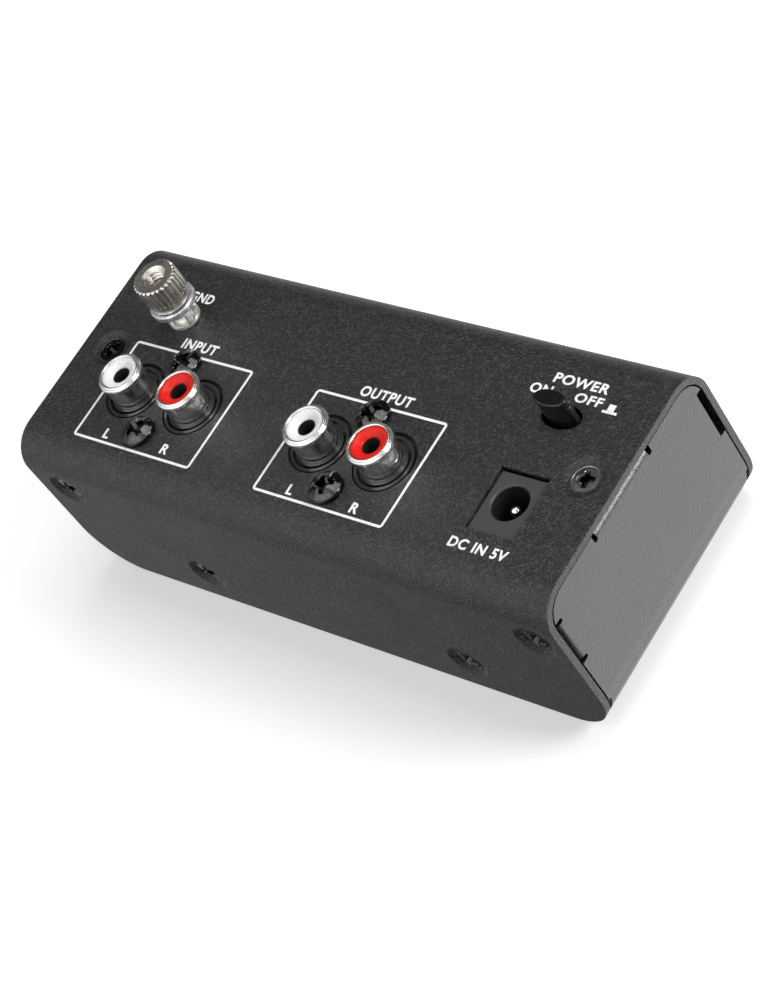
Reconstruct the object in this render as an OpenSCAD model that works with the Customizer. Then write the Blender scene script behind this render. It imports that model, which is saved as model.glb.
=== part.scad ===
// Phono preamp: a small amplifier for a turntable, in a case of two folded steel sheets.
// Millimetres, +Z up. The origin is the centre of the bottom face, and the connector panel faces -Y.
// Depths named "from the panel" are measured inward from the outer face of the connector panel.

/* [Case] */
// Width of the case, end to end
case_w = 118; // [114:1:126]
// Depth of the case, connector panel to front panel
case_d = 34.5; // [34:0.5:40]
// Height of the case
case_h = 47.8; // [46:0.2:54]
// Thickness of the folded sheet
sheet_t = 1.2; // [1:0.1:1.4]
// Outer radius of the bends beside the connector panel
rear_bend_r = 6; // [4:0.5:7]
// Outer radius of the bends beside the front panel
front_bend_r = 10; // [7:0.5:11]
// Gap between the edges of the front shell and the rear shell around it
nest_gap = 0.3; // [0.2:0.05:0.5]
// Outer radius of the folded tabs and lips
fold_r = 1.4; // [1.3:0.1:2]
// Length of the rear tab of an end plate
rear_tab_l = 15.6; // [12:0.2:20]
// Length of the bottom tab of an end plate
side_tab_l = 9; // [8.6:0.2:11]
// Width of the relief notch at each end of a tab
relief_w = 0.9; // [0.8:0.1:1.4]
// How far the rear tab reaches in from the end plate
rear_tab_reach = 10.9; // [10.5:0.1:11.2]
// How far the bottom tab reaches in from the end plate
side_tab_reach = 12.4; // [11.6:0.2:13.4]
// Depth of the slot in the top edge of an end plate
top_slot_h = 1.3; // [1:0.1:1.6]
// How far the lips of the front panel reach in
lip_reach = 12; // [11.5:0.5:13]

/* [Case screws] */
// Thread diameter of every machine screw
screw_d = 3; // [2.5:0.1:3.2]
// Head diameter of the countersunk screws
csk_head_d = 5; // [4.6:0.1:5.6]
// Length of the countersunk screws
csk_screw_l = 5.5; // [4.6:0.1:6]
// Diameter of the pressed dimple round a countersunk screw
dimple_d = 7.8; // [7.2:0.2:9]
// Depth of the pressed dimple
dimple_depth = 0.5; // [0.3:0.1:0.7]
// Distance of the rear screws from the ends of the case
rear_screw_inset = 6.4; // [6:0.1:6.8]
// Sideways shift of the rear screws
rear_screw_shift = 0.3; // [-0.4:0.1:0.4]
// Distance of the end screws in the bottom from the ends of the case
bottom_screw_inset = 6.5; // [6.4:0.1:6.9]
// Sideways shift of the end screws in the bottom
bottom_screw_shift = 0.8; // [0.4:0.1:0.8]
// Distance of the end screws in the bottom from the end of the rear bend
bottom_screw_run = 4.2; // [4:0.1:4.6]
// Distance of the spacer screws in the bottom from the ends of the case, before their shift
spacer_end_inset = 29.3; // [28.6:0.1:30]
// Sideways shift of the spacer screws in the bottom
spacer_shift = 1.2; // [0.6:0.1:1.5]
// Distance of the spacer screws from the front face
spacer_inset = 7.6; // [7.2:0.1:8]
// Radial clearance round a screw in its threaded hole
thread_gap = 0.05; // [0.03:0.01:0.08]
// Radial clearance round a screw in a plain hole
hole_gap = 0.15; // [0.1:0.05:0.3]

/* [Main board] */
// Height of the hexagonal spacers under the board
spacer_h = 6; // [5:0.5:7]
// Width across the flats of the spacers
spacer_af = 5.5; // [5:0.5:6]
// Thickness of the circuit boards
board_t = 1.6; // [1:0.1:1.6]
// Gap between the main board and the end plates
board_end_gap = 4.8; // [4:0.1:5.4]
// Gap between the main board and the inside of the connector panel
board_gap = 0.5; // [0.3:0.1:1]
// Gap between the main board and the inside of the front panel
board_front_gap = 1.8; // [1:0.1:2.4]

/* [Phono jacks] */
// Middle of the input pair, from the left end of the case
input_inset = 25.3; // [25:0.1:26]
// Middle of the output pair, from the middle of the case
output_x = 9.9; // [8:0.1:11]
// Distance between the two jacks of a pair
jack_pitch = 14; // [13.8:0.1:14.6]
// Height of the jack centres above the board
jack_rise = 6.45; // [6.1:0.05:7]
// Distance between the two fixing screws of a pair
jack_screw_pitch = 14.5; // [14.3:0.1:15]
// Diameter of the panel hole round a jack
jack_hole_d = 11.6; // [11.4:0.1:12]
// Radial gap between the housing's collar and the panel hole
collar_gap = 0.45; // [0.35:0.05:0.5]
// How far the panel's openings lie above the middle of the jacks that stand in them
hole_lift = 0.2; // [0:0.05:0.2]
// Diameter of the contact sleeve's rim
rim_d = 8.3; // [8:0.1:8.4]
// Diameter of the contact sleeve
sleeve_d = 7.7; // [7.5:0.1:7.9]
// Bore of the contact sleeve
sleeve_bore = 6.5; // [6.3:0.1:6.7]
// How far the sleeve stands out of the panel
sleeve_out = 5.7; // [5:0.1:8]
// Bore of the insulator, for the pin of a plug
pin_bore = 3.4; // [3.3:0.1:3.6]
// Depth of the housing behind the panel
housing_depth = 10.6; // [10:0.2:11.4]

/* [Supply jack] */
// Middle of the supply jack and of the button, from the right end of the case
supply_inset = 16.2; // [15.8:0.1:16.8]
// Width of the supply jack
supply_w = 9; // [8.6:0.2:9.4]
// Height of the supply jack
supply_h = 11; // [10.4:0.2:11.6]
// Length of the supply jack
supply_l = 14.2; // [13:0.1:15]
// How far its face lies behind the panel's outer face
supply_recess = 0.5; // [0.3:0.1:1]
// Height of the socket's centre above the board
socket_rise = 6.1; // [5.8:0.1:6.4]
// Diameter of the socket
socket_d = 6.4; // [6.2:0.1:6.6]
// Diameter of the centre pin
pin_d = 2; // [1.9:0.1:2.1]
// Gap between the supply jack and its opening
supply_gap = 0.3; // [0.25:0.05:0.35]

/* [Power switch] */
// Height of the button above the bottom face
button_z = 32.9; // [31.5:0.1:34]
// Width of the button
button_w = 6.2; // [5.8:0.1:6.6]
// Height of the button
button_h = 3.2; // [3:0.1:3.8]
// How far the button stands out at rest
button_out = 5; // [4.5:0.1:6]
// Travel of the button
button_travel = 2.5; // [2:0.1:2.8]
// Gap between the button and its opening
button_gap = 0.75; // [0.65:0.05:0.9]
// How far the key rib stands out of the button's side
button_key = 0.4; // [0.3:0.05:0.4]
// Side of the square switch body
switch_side = 8.5; // [8:0.1:9]
// Length of the switch body
switch_l = 8; // [7.8:0.1:8.2]
// Thickness of the plunger's square stem
stem_t = 2; // [1.8:0.1:2.2]
// Gap between the supply jack and the riser board behind it
riser_gap = 0.5; // [0.3:0.1:0.9]
// Width of the riser board
riser_w = 18; // [16:1:20]
// Wire diameter of the switch spring
spring_wire = 0.4; // [0.35:0.05:0.5]
// Coils of the switch spring
spring_turns = 5; // [4:1:5]

/* [Ground post] */
// Middle of the ground post, from the left end of the case
post_inset = 18.3; // [17.8:0.1:18.8]
// Height of the ground post above the bottom face
post_z = 33.2; // [32.8:0.1:34.2]
// Diameter of the post's foot
post_d = 5.9; // [5.6:0.1:6.4]
// Height of the post's foot
post_h = 3.9; // [3.6:0.1:4.6]
// Width of the cross windows in the foot
window_w = 3.2; // [2.8:0.1:3.4]
// Height of the cross windows
window_h = 1.9; // [1.6:0.1:2.2]
// Turn of the post and its windows from upright
post_turn = 30; // [0:5:45]
// Effective diameter of the M4 thread of the stud
stud_d = 3.55; // [3.4:0.05:3.7]
// Rise of the thumb nut for each turn
thread_pitch = 0.7; // [0.5:0.05:0.7]
// Turns that the thumb nut can be opened
nut_turns = 3; // [2:1:3]
// Diameter of the loose washer
washer_d = 8.5; // [8.2:0.1:8.8]
// Thickness of the loose washer
washer_t = 1.1; // [0.8:0.1:1.2]
// Diameter over the knurl of the thumb nut
knurl_d = 8; // [7.6:0.1:8.4]
// Length of the knurled part
knurl_l = 4.6; // [4.2:0.1:5]
// Length of the thumb nut's smooth collar
collar_l = 1.5; // [1.2:0.1:1.8]
// Diameter of the thumb nut's smooth collar
collar_d = 7.2; // [6.6:0.1:7.4]
// Number of grooves in the knurl
knurl_n = 30; // [24:1:32]
// Axial gap on each side of the loose washer
washer_gap = 0.25; // [0.2:0.05:0.3]
// Running clearance, radial, of what slides or turns
run_gap = 0.05; // [0.03:0.01:0.08]

/* [Parts on the board] */
// Gap between neighbouring parts
part_gap = 1.3; // [0.8:0.1:1.6]
// Gap between the rows of parts and what lies before and behind them
row_gap = 0.4; // [0.3:0.05:0.5]
// Diameter of the channels' capacitors
can_d = 6.3; // [5:0.1:6.6]
// Height of the channels' capacitors
can_h = 11; // [9:0.5:12]
// Diameter of the supply's capacitors
tall_can_d = 8; // [6.3:0.1:8.4]
// Height of the supply's capacitors
tall_can_h = 12; // [10:0.5:16]
// Diameter of the choke
choke_d = 7; // [6:0.1:8]
// Height of the choke
choke_h = 8; // [6:0.5:10]
// Length of an eight-pin chip
chip_l = 9.6; // [9.2:0.1:10]
// Width of an eight-pin chip
chip_w = 6.4; // [6:0.1:6.8]
// Thickness of an eight-pin chip
chip_h = 3.3; // [3:0.1:3.6]
// Length of a film capacitor
film_l = 7.2; // [6:0.1:7.6]
// Width of a film capacitor
film_w = 3; // [2.5:0.1:4]
// Height of a film capacitor
film_h = 6.5; // [5:0.1:8]
// Diameter of a resistor
resistor_d = 2.3; // [1.8:0.1:2.6]
// Length of a resistor
resistor_l = 6.3; // [5:0.1:6.6]
// Diameter of the diode
diode_d = 2.7; // [2.2:0.1:3]
// Length of the diode
diode_l = 5.2; // [4.6:0.1:6]
// Thickness of the parts' leads
lead_t = 0.6; // [0.5:0.05:0.7]
// How far a lead runs out of its part before it bends down
lead_run = 1.6; // [1.2:0.1:1.8]

/* [Hidden] */
$fn = 48;
rear_y = -case_d / 2;
panel_in = rear_y + sheet_t;
front_y = case_d / 2;
front_in = front_y - sheet_t;
shell_z0 = sheet_t + nest_gap;
shell_z1 = case_h - shell_z0;
mid_z = case_h / 2;
input_x = input_inset - case_w / 2;
supply_x = case_w / 2 - supply_inset;
post_x = post_inset - case_w / 2;
board_w = case_w - 2 * (sheet_t + board_end_gap);
board_bottom = 2 * sheet_t + dimple_depth + spacer_h;
board_top = board_bottom + board_t;
board_y0 = panel_in + board_gap;
board_y1 = front_in - board_front_gap;
jack_z = board_top + jack_rise;
jack_xs = [input_x - jack_pitch / 2, input_x + jack_pitch / 2,
           output_x - jack_pitch / 2, output_x + jack_pitch / 2];
spacer_y = front_y - spacer_inset;
spacer_xs = [for (side = [-1, 1]) spacer_shift + side * (case_w / 2 - spacer_end_inset)];
end_screw_xs = [for (side = [-1, 1]) bottom_screw_shift + side * (case_w / 2 - bottom_screw_inset)];
rear_screw_xs = [for (side = [-1, 1]) rear_screw_shift + side * (case_w / 2 - rear_screw_inset)];
side_tab_y = rear_y + rear_bend_r;
end_screw_y = side_tab_y + bottom_screw_run;
cut = 1;                                // how far a cutting shape overruns what it cuts
seam = 0.02;                            // air between two parts that are screwed together
screw_r = screw_d / 2;
csk_depth = csk_head_d / 2 - screw_r;   // depth of a 90 degree countersink
dimple_slope = 1.15;                    // how far the dimple's wall runs in
jack_ear_w = 7.4;
jack_ear_margin = 3.2;
housing_w = jack_pitch + 13.2;
housing_h = 13;
housing_y0 = panel_in + 0.1;
housing_y1 = rear_y + housing_depth;
sleeve_l = sleeve_out + 6;              // the sleeve ends 6 mm behind the panel's face
insulator_back = 7.2;                   // depth of the insulator's back from the panel
contact_d = pin_bore + 0.8;
tail_y = insulator_back + 0.9;          // depth of the contact tails from the panel
tail_w = 1.4;
tail_t = 0.4;
tail_below = 0.9;                       // how far a tail shows under the board
function outer_side(i) = i % 2 == 0 ? -1 : 1;   // the side of jack i away from its pair
function sleeve_tail_x(i) = jack_xs[i] + outer_side(i) * (sleeve_d - tail_t) / 2;
sleeve_tail_y = 5;                      // depth of the sleeve's tails from the panel
lip_w = case_w - 2 * (front_bend_r + relief_w);
corner_relief = 0.5;                    // how far the edge is set back beside the corner bends
supply_y0 = rear_y + supply_recess;
socket_z = board_top + socket_rise;
socket_l = 9.6;
riser_y0 = supply_y0 + supply_l + riser_gap;
switch_y0 = riser_y0 - switch_l;
switch_wall = 1;
switch_bore = 6.4;
flange_d = 5.6;                         // flange of the plunger inside the switch body
flange_t = 1;
button_back = switch_y0 - button_travel - 0.4;
button_front = rear_y - button_out;
socket_depth = 3.6;                     // depth of the stem's socket in the button
stem_y0 = button_back - socket_depth;
flange_y0 = switch_y0 + switch_wall + run_gap;
spring_y0 = flange_y0 + flange_t + 0.1;
spring_y1 = riser_y0 - switch_wall - 0.1;
spring_r = 2.3;
pin_pitch = 2.54;
pin_count = 6;
post_top = rear_y - post_h;
washer_y0 = post_top - washer_gap - washer_t;
nut_y1 = washer_y0 - washer_gap;
nut_l = collar_l + knurl_l;
nut_y0 = nut_y1 - nut_l;
nut_travel = nut_turns * thread_pitch;
stud_y0 = nut_y0 + nut_l / 2 - 0.6;     // free end of the stud, inside the thumb nut
lock_washer_t = 0.6;
lock_washer_d = 7.4;
hex_nut_t = 2.4;
hex_nut_af = 7;
lug_t = 0.6;
lug_y0 = panel_in + lock_washer_t + hex_nut_t;
stud_tail = lug_y0 + lug_t + hex_nut_t + 0.8;
wire_d = 1.5;
wire_x = input_x - housing_w / 2 - 1.9; // the ground wire drops beside the input housing
white = [0.93, 0.93, 0.92];
red = [0.8, 0.07, 0.06];
chip_black = [0.1, 0.1, 0.11];
can_blue = [0.12, 0.14, 0.3];
led_d = 3;
led_x = supply_x;
led_z = mid_z;
lamp_gap = 0.1;

// ---- Helpers ----

// Turns +Z into +Y, for what lies along the depth of the case
module along_y(x, y, z) {
    translate([x, y, z]) rotate([-90, 0, 0]) children();
}

// Block over the whole width w whose two rear edges are round
module rear_round(w, y0, y1, z0, z1, r) {
    translate([-w / 2, y0 + r, z0]) cube([w, y1 - y0 - r, z1 - z0]);
    translate([-w / 2, y0, z0 + r]) cube([w, y1 - y0, z1 - z0 - 2 * r]);
    for (z = [z0 + r, z1 - r])
        translate([-w / 2, y0 + r, z]) rotate([0, 90, 0]) cylinder(r = r, h = w);
}

// Block over the whole width w whose two upright front edges are round
module front_round(w, y0, y1, z0, z1, r) {
    translate([-w / 2, y0, z0]) cube([w, y1 - y0 - r, z1 - z0]);
    translate([-w / 2 + r, y0, z0]) cube([w - 2 * r, y1 - y0, z1 - z0]);
    for (side = [-1, 1])
        translate([side * (w / 2 - r), y1 - r, z0]) cylinder(r = r, h = z1 - z0);
}

module ring(outer_d, inner_d, h) {
    difference() {
        cylinder(d = outer_d, h = h);
        translate([0, 0, -cut]) cylinder(d = inner_d, h = h + 2 * cut);
    }
}

module hex_prism(af, h) {
    cylinder(d = af / cos(30), h = h, $fn = 6);
}

// Points of an ellipse
function oval(w, h) = [for (a = [0 : 7.5 : 359]) [w / 2 * cos(a), h / 2 * sin(a)]];

// Cross recess of a screw, cut down from z = 0
module cross_recess(span, depth) {
    for (a = [0, 90])
        rotate([0, 0, a]) translate([-span / 2, -0.3, -depth]) cube([span, 0.6, depth + cut]);
    translate([0, 0, -depth]) cylinder(d = span * 0.5, h = depth + cut, $fn = 24);
}

// ---- Folded sheet ----

// What the press moves at a dimple: the sheet's outer face is z = 0 and it lies at z > 0
module dimple_boss() {
    translate([0, 0, sheet_t - seam])
        cylinder(d1 = dimple_d + 2 * seam, d2 = dimple_d - 2 * dimple_slope, h = dimple_depth + seam);
}

module dimple_cut() {
    translate([0, 0, -seam])
        cylinder(d1 = dimple_d + 2 * seam, d2 = dimple_d - 2 * dimple_slope,
                 h = dimple_depth + 2 * seam);
}

// Countersunk hole below a dimple
module csk_hole() {
    head_z = dimple_depth;
    translate([0, 0, head_z - seam])
        cylinder(d1 = csk_head_d + 2 * (thread_gap + seam), d2 = screw_d + 2 * thread_gap,
                 h = csk_depth + seam);
    cylinder(d = screw_d + 2 * hole_gap, h = sheet_t + dimple_depth + cut);
}

module tapped_hole() {
    translate([0, 0, -cut])
        cylinder(d = screw_d + 2 * thread_gap, h = sheet_t + dimple_depth + 2 * cut);
}

// Places of the countersunk screws, with +Z pointing into the case
module at_rear_screws(depth = 0) {
    for (x = rear_screw_xs) along_y(x, rear_y + depth, mid_z) children();
}

module at_end_screws(depth = 0) {
    for (x = end_screw_xs) translate([x, end_screw_y, depth]) children();
}

module at_spacers(z = 0) {
    for (x = spacer_xs) translate([x, spacer_y, z]) children();
}

// Tab along +Z folded from a plate at y > 0 whose outer face is x = 0; its own outer face is y = 0
module fold_tab(l, reach) {
    intersection() {
        translate([-fold_r, fold_r, 0]) ring(2 * fold_r, 2 * (fold_r - sheet_t), l);
        translate([-fold_r, 0, 0]) cube([fold_r, fold_r, l]);
    }
    translate([-reach, 0, 0]) cube([reach - fold_r, sheet_t, l]);
    translate([-sheet_t, fold_r, 0]) cube([sheet_t, relief_w, l]);
}

// Room that the fold and its two relief notches take out of the plate
module fold_relief(l) {
    translate([-sheet_t - cut, -cut, -relief_w])
        cube([sheet_t + 2 * cut, fold_r + cut, l + 2 * relief_w]);
    for (z = [-relief_w / 2, l + relief_w / 2])
        translate([-sheet_t - cut, fold_r, z]) rotate([0, 90, 0])
            cylinder(d = relief_w, h = sheet_t + 2 * cut, $fn = 24);
}

// Places of the tabs of the right end plate
module at_rear_tab() {
    translate([case_w / 2, panel_in, mid_z - rear_tab_l / 2]) children();
}

module at_bottom_tab() {
    translate([case_w / 2, side_tab_y + side_tab_l, sheet_t]) rotate([90, 0, 0]) children();
}

module end_tabs() {
    at_rear_tab() fold_tab(rear_tab_l, rear_tab_reach);
    at_bottom_tab() fold_tab(side_tab_l, side_tab_reach);
}

module end_reliefs() {
    at_rear_tab() fold_relief(rear_tab_l);
    at_bottom_tab() fold_relief(side_tab_l);
    translate([case_w / 2 - sheet_t - cut, side_tab_y - relief_w, shell_z1 - top_slot_h])
        cube([sheet_t + 2 * cut, side_tab_l + 2 * relief_w, top_slot_h + cut]);
}

// Lip folded in along the bottom of the front panel, and its reliefs beside the corner bends
module front_lip() {
    translate([-lip_w / 2, front_y, sheet_t]) rotate([0, 0, 90]) rotate([90, 0, 0])
        fold_tab(lip_w, lip_reach);
}

module lip_relief() {
    translate([-lip_w / 2 - relief_w, front_in - cut, 0])
        cube([lip_w + 2 * relief_w, sheet_t + 2 * cut, sheet_t + fold_r]);
    for (side = [-1, 1])
        translate([side * case_w / 2 - front_bend_r, front_y - 0.8 * front_bend_r, 0])
            cube([2 * front_bend_r, front_bend_r, shell_z0 + corner_relief]);
}

module rear_shell() {
    color([0.09, 0.09, 0.1])
    difference() {
        union() {
            intersection() {
                difference() {
                    rear_round(case_w, rear_y, front_y, 0, case_h, rear_bend_r);
                    rear_round(case_w + 2 * cut, panel_in, front_y + cut, sheet_t, case_h - sheet_t,
                               rear_bend_r - sheet_t);
                }
                front_round(case_w, rear_y - cut, front_y, -cut, case_h + cut, front_bend_r);
            }
            at_rear_screws() dimple_boss();
            at_end_screws() dimple_boss();
            at_spacers() dimple_boss();
        }
        at_rear_screws() dimple_cut();
        at_end_screws() dimple_cut();
        at_spacers() dimple_cut();
        at_rear_screws() csk_hole();
        at_end_screws() csk_hole();
        at_spacers() csk_hole();
        for (x = jack_xs)
            along_y(x, rear_y - cut, jack_z + hole_lift)
                cylinder(d = jack_hole_d, h = sheet_t + 2 * cut);
        for (x = [input_x, output_x], side = [-1, 1])
            along_y(x, rear_y - cut, jack_z + side * jack_screw_pitch / 2)
                cylinder(d = screw_d + 2 * hole_gap, h = sheet_t + 2 * cut);
        along_y(post_x, rear_y - cut, post_z)
            cylinder(d = stud_d + 2 * hole_gap, h = sheet_t + 2 * cut);
        translate([supply_x - supply_w / 2 - supply_gap, rear_y - cut,
                   board_top + hole_lift - supply_gap])
            cube([supply_w + 2 * supply_gap, sheet_t + 2 * cut, supply_h + 2 * supply_gap]);
        along_y(supply_x, rear_y - cut, button_z)
            linear_extrude(sheet_t + 2 * cut)
                polygon(oval(button_w + 2 * button_gap, button_h + 2 * button_gap));
    }
}

module front_shell() {
    color([0.12, 0.12, 0.13])
    difference() {
        union() {
            difference() {
                intersection() {
                    front_round(case_w, panel_in + nest_gap / 2, front_y, shell_z0, shell_z1,
                                front_bend_r);
                    rear_round(case_w + 2 * cut, panel_in + nest_gap / 2, front_y + cut,
                               shell_z0, shell_z1, rear_bend_r - sheet_t - nest_gap / 2);
                }
                front_round(case_w - 2 * sheet_t, rear_y, front_in, 0, case_h,
                            front_bend_r - sheet_t);
                end_reliefs();
                mirror([1, 0, 0]) end_reliefs();
                lip_relief();
                translate([0, 0, case_h]) mirror([0, 0, 1]) lip_relief();
            }
            end_tabs();
            mirror([1, 0, 0]) end_tabs();
            front_lip();
            translate([0, 0, case_h]) mirror([0, 0, 1]) front_lip();
            at_rear_screws(sheet_t) dimple_boss();
            at_end_screws(sheet_t) dimple_boss();
            at_spacers(sheet_t) dimple_boss();
        }
        at_rear_screws(sheet_t) dimple_cut();
        at_end_screws(sheet_t) dimple_cut();
        at_spacers(sheet_t) dimple_cut();
        at_rear_screws(sheet_t) tapped_hole();
        at_end_screws(sheet_t) tapped_hole();
        at_spacers(sheet_t) tapped_hole();
        along_y(led_x, front_in - cut, led_z) cylinder(d = led_d + 2 * lamp_gap, h = sheet_t + 2 * cut);
    }
}

// ---- Fasteners ----

// Countersunk screw: head at z = 0, shank towards +Z
module csk_screw(l) {
    difference() {
        union() {
            cylinder(d1 = csk_head_d, d2 = screw_d, h = csk_depth);
            cylinder(d = screw_d, h = l);
        }
        mirror([0, 0, 1]) cross_recess(csk_head_d * 0.56, 0.9);
    }
}

// Pan-head screw: underside of the head at z = 0, shank towards +Z
module pan_screw(head_d, head_h, l) {
    difference() {
        union() {
            translate([0, 0, -head_h * 0.6]) cylinder(d = head_d, h = head_h * 0.6);
            translate([0, 0, -head_h]) cylinder(d1 = head_d * 0.72, d2 = head_d, h = head_h * 0.4);
            cylinder(d = screw_d, h = l);
        }
        translate([0, 0, -head_h]) mirror([0, 0, 1]) cross_recess(head_d * 0.56, 1);
    }
}

module rear_screws() {
    color([0.25, 0.25, 0.26]) at_rear_screws(dimple_depth) csk_screw(csk_screw_l);
}

module end_screws() {
    color([0.16, 0.16, 0.17]) at_end_screws(dimple_depth) csk_screw(csk_screw_l);
}

module spacer_screws() {
    color([0.16, 0.16, 0.17]) at_spacers(dimple_depth) csk_screw(csk_screw_l);
}

module board_spacers() {
    color([0.75, 0.66, 0.4])
        at_spacers(board_bottom - spacer_h) difference() {
            hex_prism(spacer_af, spacer_h);
            translate([0, 0, -cut]) cylinder(d = screw_d + 2 * thread_gap, h = spacer_h + 2 * cut);
        }
}

board_screw_l = board_t + 2.4;
board_screw_head = 1.8;
module board_screws() {
    color([0.7, 0.7, 0.72])
        at_spacers(board_top) mirror([0, 0, 1]) pan_screw(5.4, board_screw_head, board_screw_l);
}

jack_head_d = 6;
jack_head_h = 2;
jack_screw_l = 8;
module jack_screws() {
    color([0.12, 0.12, 0.13])
        for (x = [input_x, output_x], side = [-1, 1])
            along_y(x, rear_y, jack_z + side * jack_screw_pitch / 2)
                pan_screw(jack_head_d, jack_head_h, jack_screw_l);
}

// ---- Main board ----

supply_tail_y = 11;                     // tail of the spring contact, from the jack's face
pin_tail_y = supply_l + 0.2;            // tail of the centre pin, from the jack's face
module main_board() {
    color([0.08, 0.3, 0.16])
    difference() {
        translate([-board_w / 2, board_y0, board_bottom]) cube([board_w, board_y1 - board_y0, board_t]);
        for (x = [input_x, output_x])
            translate([x - jack_ear_w / 2 - 0.4, board_y0 - cut, board_bottom - cut])
                cube([jack_ear_w + 0.8, housing_y1 - board_y0 + cut + 0.4, board_t + 2 * cut]);
        at_spacers(board_bottom - cut) cylinder(d = screw_d + 2 * hole_gap, h = board_t + 2 * cut);
        for (x = jack_xs) translate([x, rear_y + tail_y, board_bottom - cut])
            cylinder(d = tail_w + 0.6, h = board_t + 2 * cut);
        for (i = [0 : 3])
            translate([sleeve_tail_x(i), rear_y + sleeve_tail_y, board_bottom - cut])
                cylinder(d = tail_w + 0.2, h = board_t + 2 * cut);
        for (y = [supply_tail_y, pin_tail_y])
            translate([supply_x, supply_y0 + y, board_bottom - cut])
                cylinder(d = tail_w + 0.2, h = board_t + 2 * cut);
        for (i = [0 : pin_count - 1])
            translate([riser_pin_x(i), riser_pin_y, board_bottom - cut])
                cylinder(d = 1, h = board_t + 2 * cut, $fn = 24);
    }
}

// ---- Phono jacks ----

// Moulded housing of the pair that begins with jack i; its collars reach through the panel
module jack_housing(i) {
    x0 = (jack_xs[i] + jack_xs[i + 1]) / 2;
    color([0.07, 0.07, 0.08])
    difference() {
        union() {
            translate([x0 - housing_w / 2, housing_y0, board_top])
                cube([housing_w, housing_y1 - housing_y0, housing_h]);
            translate([x0 - jack_ear_w / 2, housing_y0,
                       jack_z - jack_screw_pitch / 2 - jack_ear_margin])
                cube([jack_ear_w, housing_y1 - housing_y0, jack_screw_pitch + 2 * jack_ear_margin]);
            for (side = [-1, 1])
                along_y(x0 + side * jack_pitch / 2, rear_y, jack_z)
                    cylinder(d = jack_hole_d - 2 * collar_gap, h = sheet_t + 1);
        }
        for (side = [-1, 1]) {
            x = x0 + side * jack_pitch / 2;
            along_y(x, rear_y - cut, jack_z) ring(jack_hole_d - 2 * collar_gap - 1.1,
                                                  sleeve_d + 0.9, cut + 1.5);
            along_y(x, rear_y - cut, jack_z) cylinder(d = sleeve_d + 2 * run_gap, h = cut + 6.1);
            along_y(x, rear_y, jack_z) cylinder(d = sleeve_bore, h = insulator_back + run_gap);
            translate([x - 4.6, rear_y + insulator_back, board_top - cut])
                cube([9.2, housing_depth, jack_rise + 3.4]);
            along_y(x0, housing_y0 - cut, jack_z + side * jack_screw_pitch / 2)
                cylinder(d = screw_d + 2 * thread_gap, h = jack_screw_l + cut);
        }
        for (j = [i, i + 1])
            translate([sleeve_tail_x(j) - tail_t / 2 - hole_gap,
                       rear_y + sleeve_tail_y - tail_w / 2 - hole_gap, board_top - cut])
                cube([tail_t + 2 * hole_gap, tail_w + 2 * hole_gap, cut + jack_rise + 0.5]);
    }
}

// Contact sleeve of jack i: a rimmed tube, with a solder tail down to the board
module sleeve(i) {
    color([0.82, 0.82, 0.8]) {
        along_y(jack_xs[i], rear_y - sleeve_out, jack_z) rotate_extrude()
            polygon([[sleeve_bore / 2, 0], [rim_d / 2 - 0.35, 0], [rim_d / 2 - 0.1, 0.1],
                     [rim_d / 2, 0.35], [rim_d / 2, 0.7], [rim_d / 2 - 0.1, 0.9],
                     [sleeve_d / 2, 1.05], [sleeve_d / 2, sleeve_l], [sleeve_bore / 2, sleeve_l]]);
        translate([sleeve_tail_x(i) - tail_t / 2, rear_y + sleeve_tail_y - tail_w / 2,
                   board_bottom - tail_below])
            cube([tail_t, tail_w, jack_z - board_bottom + tail_below]);
    }
}

module insulator(x, tint) {
    outer = sleeve_bore / 2 - run_gap;
    color(tint)
        along_y(x, rear_y - sleeve_out + 0.2, jack_z) rotate_extrude()
            polygon([[outer, 0], [outer, sleeve_out - 0.2 + insulator_back],
                     [contact_d / 2 + run_gap, sleeve_out - 0.2 + insulator_back],
                     [contact_d / 2 + run_gap, sleeve_out + 0.4],
                     [pin_bore / 2, sleeve_out + 0.4], [pin_bore / 2, 1.9],
                     [pin_bore / 2 + 0.15, 1.6], [outer - 0.5, 0.1], [outer - 0.3, 0]]);
}

// Spring cup that grips the pin of a plug, with its tail to the board
module contact(x) {
    cup_y0 = rear_y + 0.7;
    color([0.78, 0.7, 0.45]) difference() {
        union() {
            along_y(x, cup_y0, jack_z) cylinder(d = contact_d, h = insulator_back - 0.5);
            translate([x - tail_w / 2, rear_y + tail_y - tail_t / 2, board_bottom - tail_below])
                cube([tail_w, tail_t, jack_z - board_bottom + tail_below]);
            along_y(x, rear_y + insulator_back - 0.6, jack_z)
                cylinder(d = tail_w, h = tail_y - insulator_back + 0.6);
        }
        along_y(x, cup_y0 - cut, jack_z) cylinder(d = pin_bore - 0.1, h = insulator_back - 0.6);
        translate([x - 0.25, cup_y0 - cut, jack_z - contact_d]) cube([0.5, 5, 2 * contact_d]);
    }
}

// ---- Supply jack ----

spring_slot_w = 2.4;
module supply_jack() {
    color([0.06, 0.06, 0.07])
    difference() {
        translate([supply_x - supply_w / 2, supply_y0, board_top])
            cube([supply_w, supply_l, supply_h]);
        along_y(supply_x, supply_y0 - cut, socket_z) cylinder(d = socket_d, h = socket_l + cut);
        along_y(supply_x, supply_y0 - cut, socket_z)
            cylinder(d = pin_d + 2 * run_gap, h = supply_l + 2 * cut);
        along_y(supply_x, supply_y0 - seam, socket_z)
            cylinder(d1 = socket_d + 0.7, d2 = socket_d, h = 0.35);
        translate([supply_x - spring_slot_w / 2 - 0.1, supply_y0 + 2.2, board_top - cut])
            cube([spring_slot_w + 0.2, supply_l, socket_rise - socket_d / 2 + cut + 0.5]);
    }
}

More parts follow.
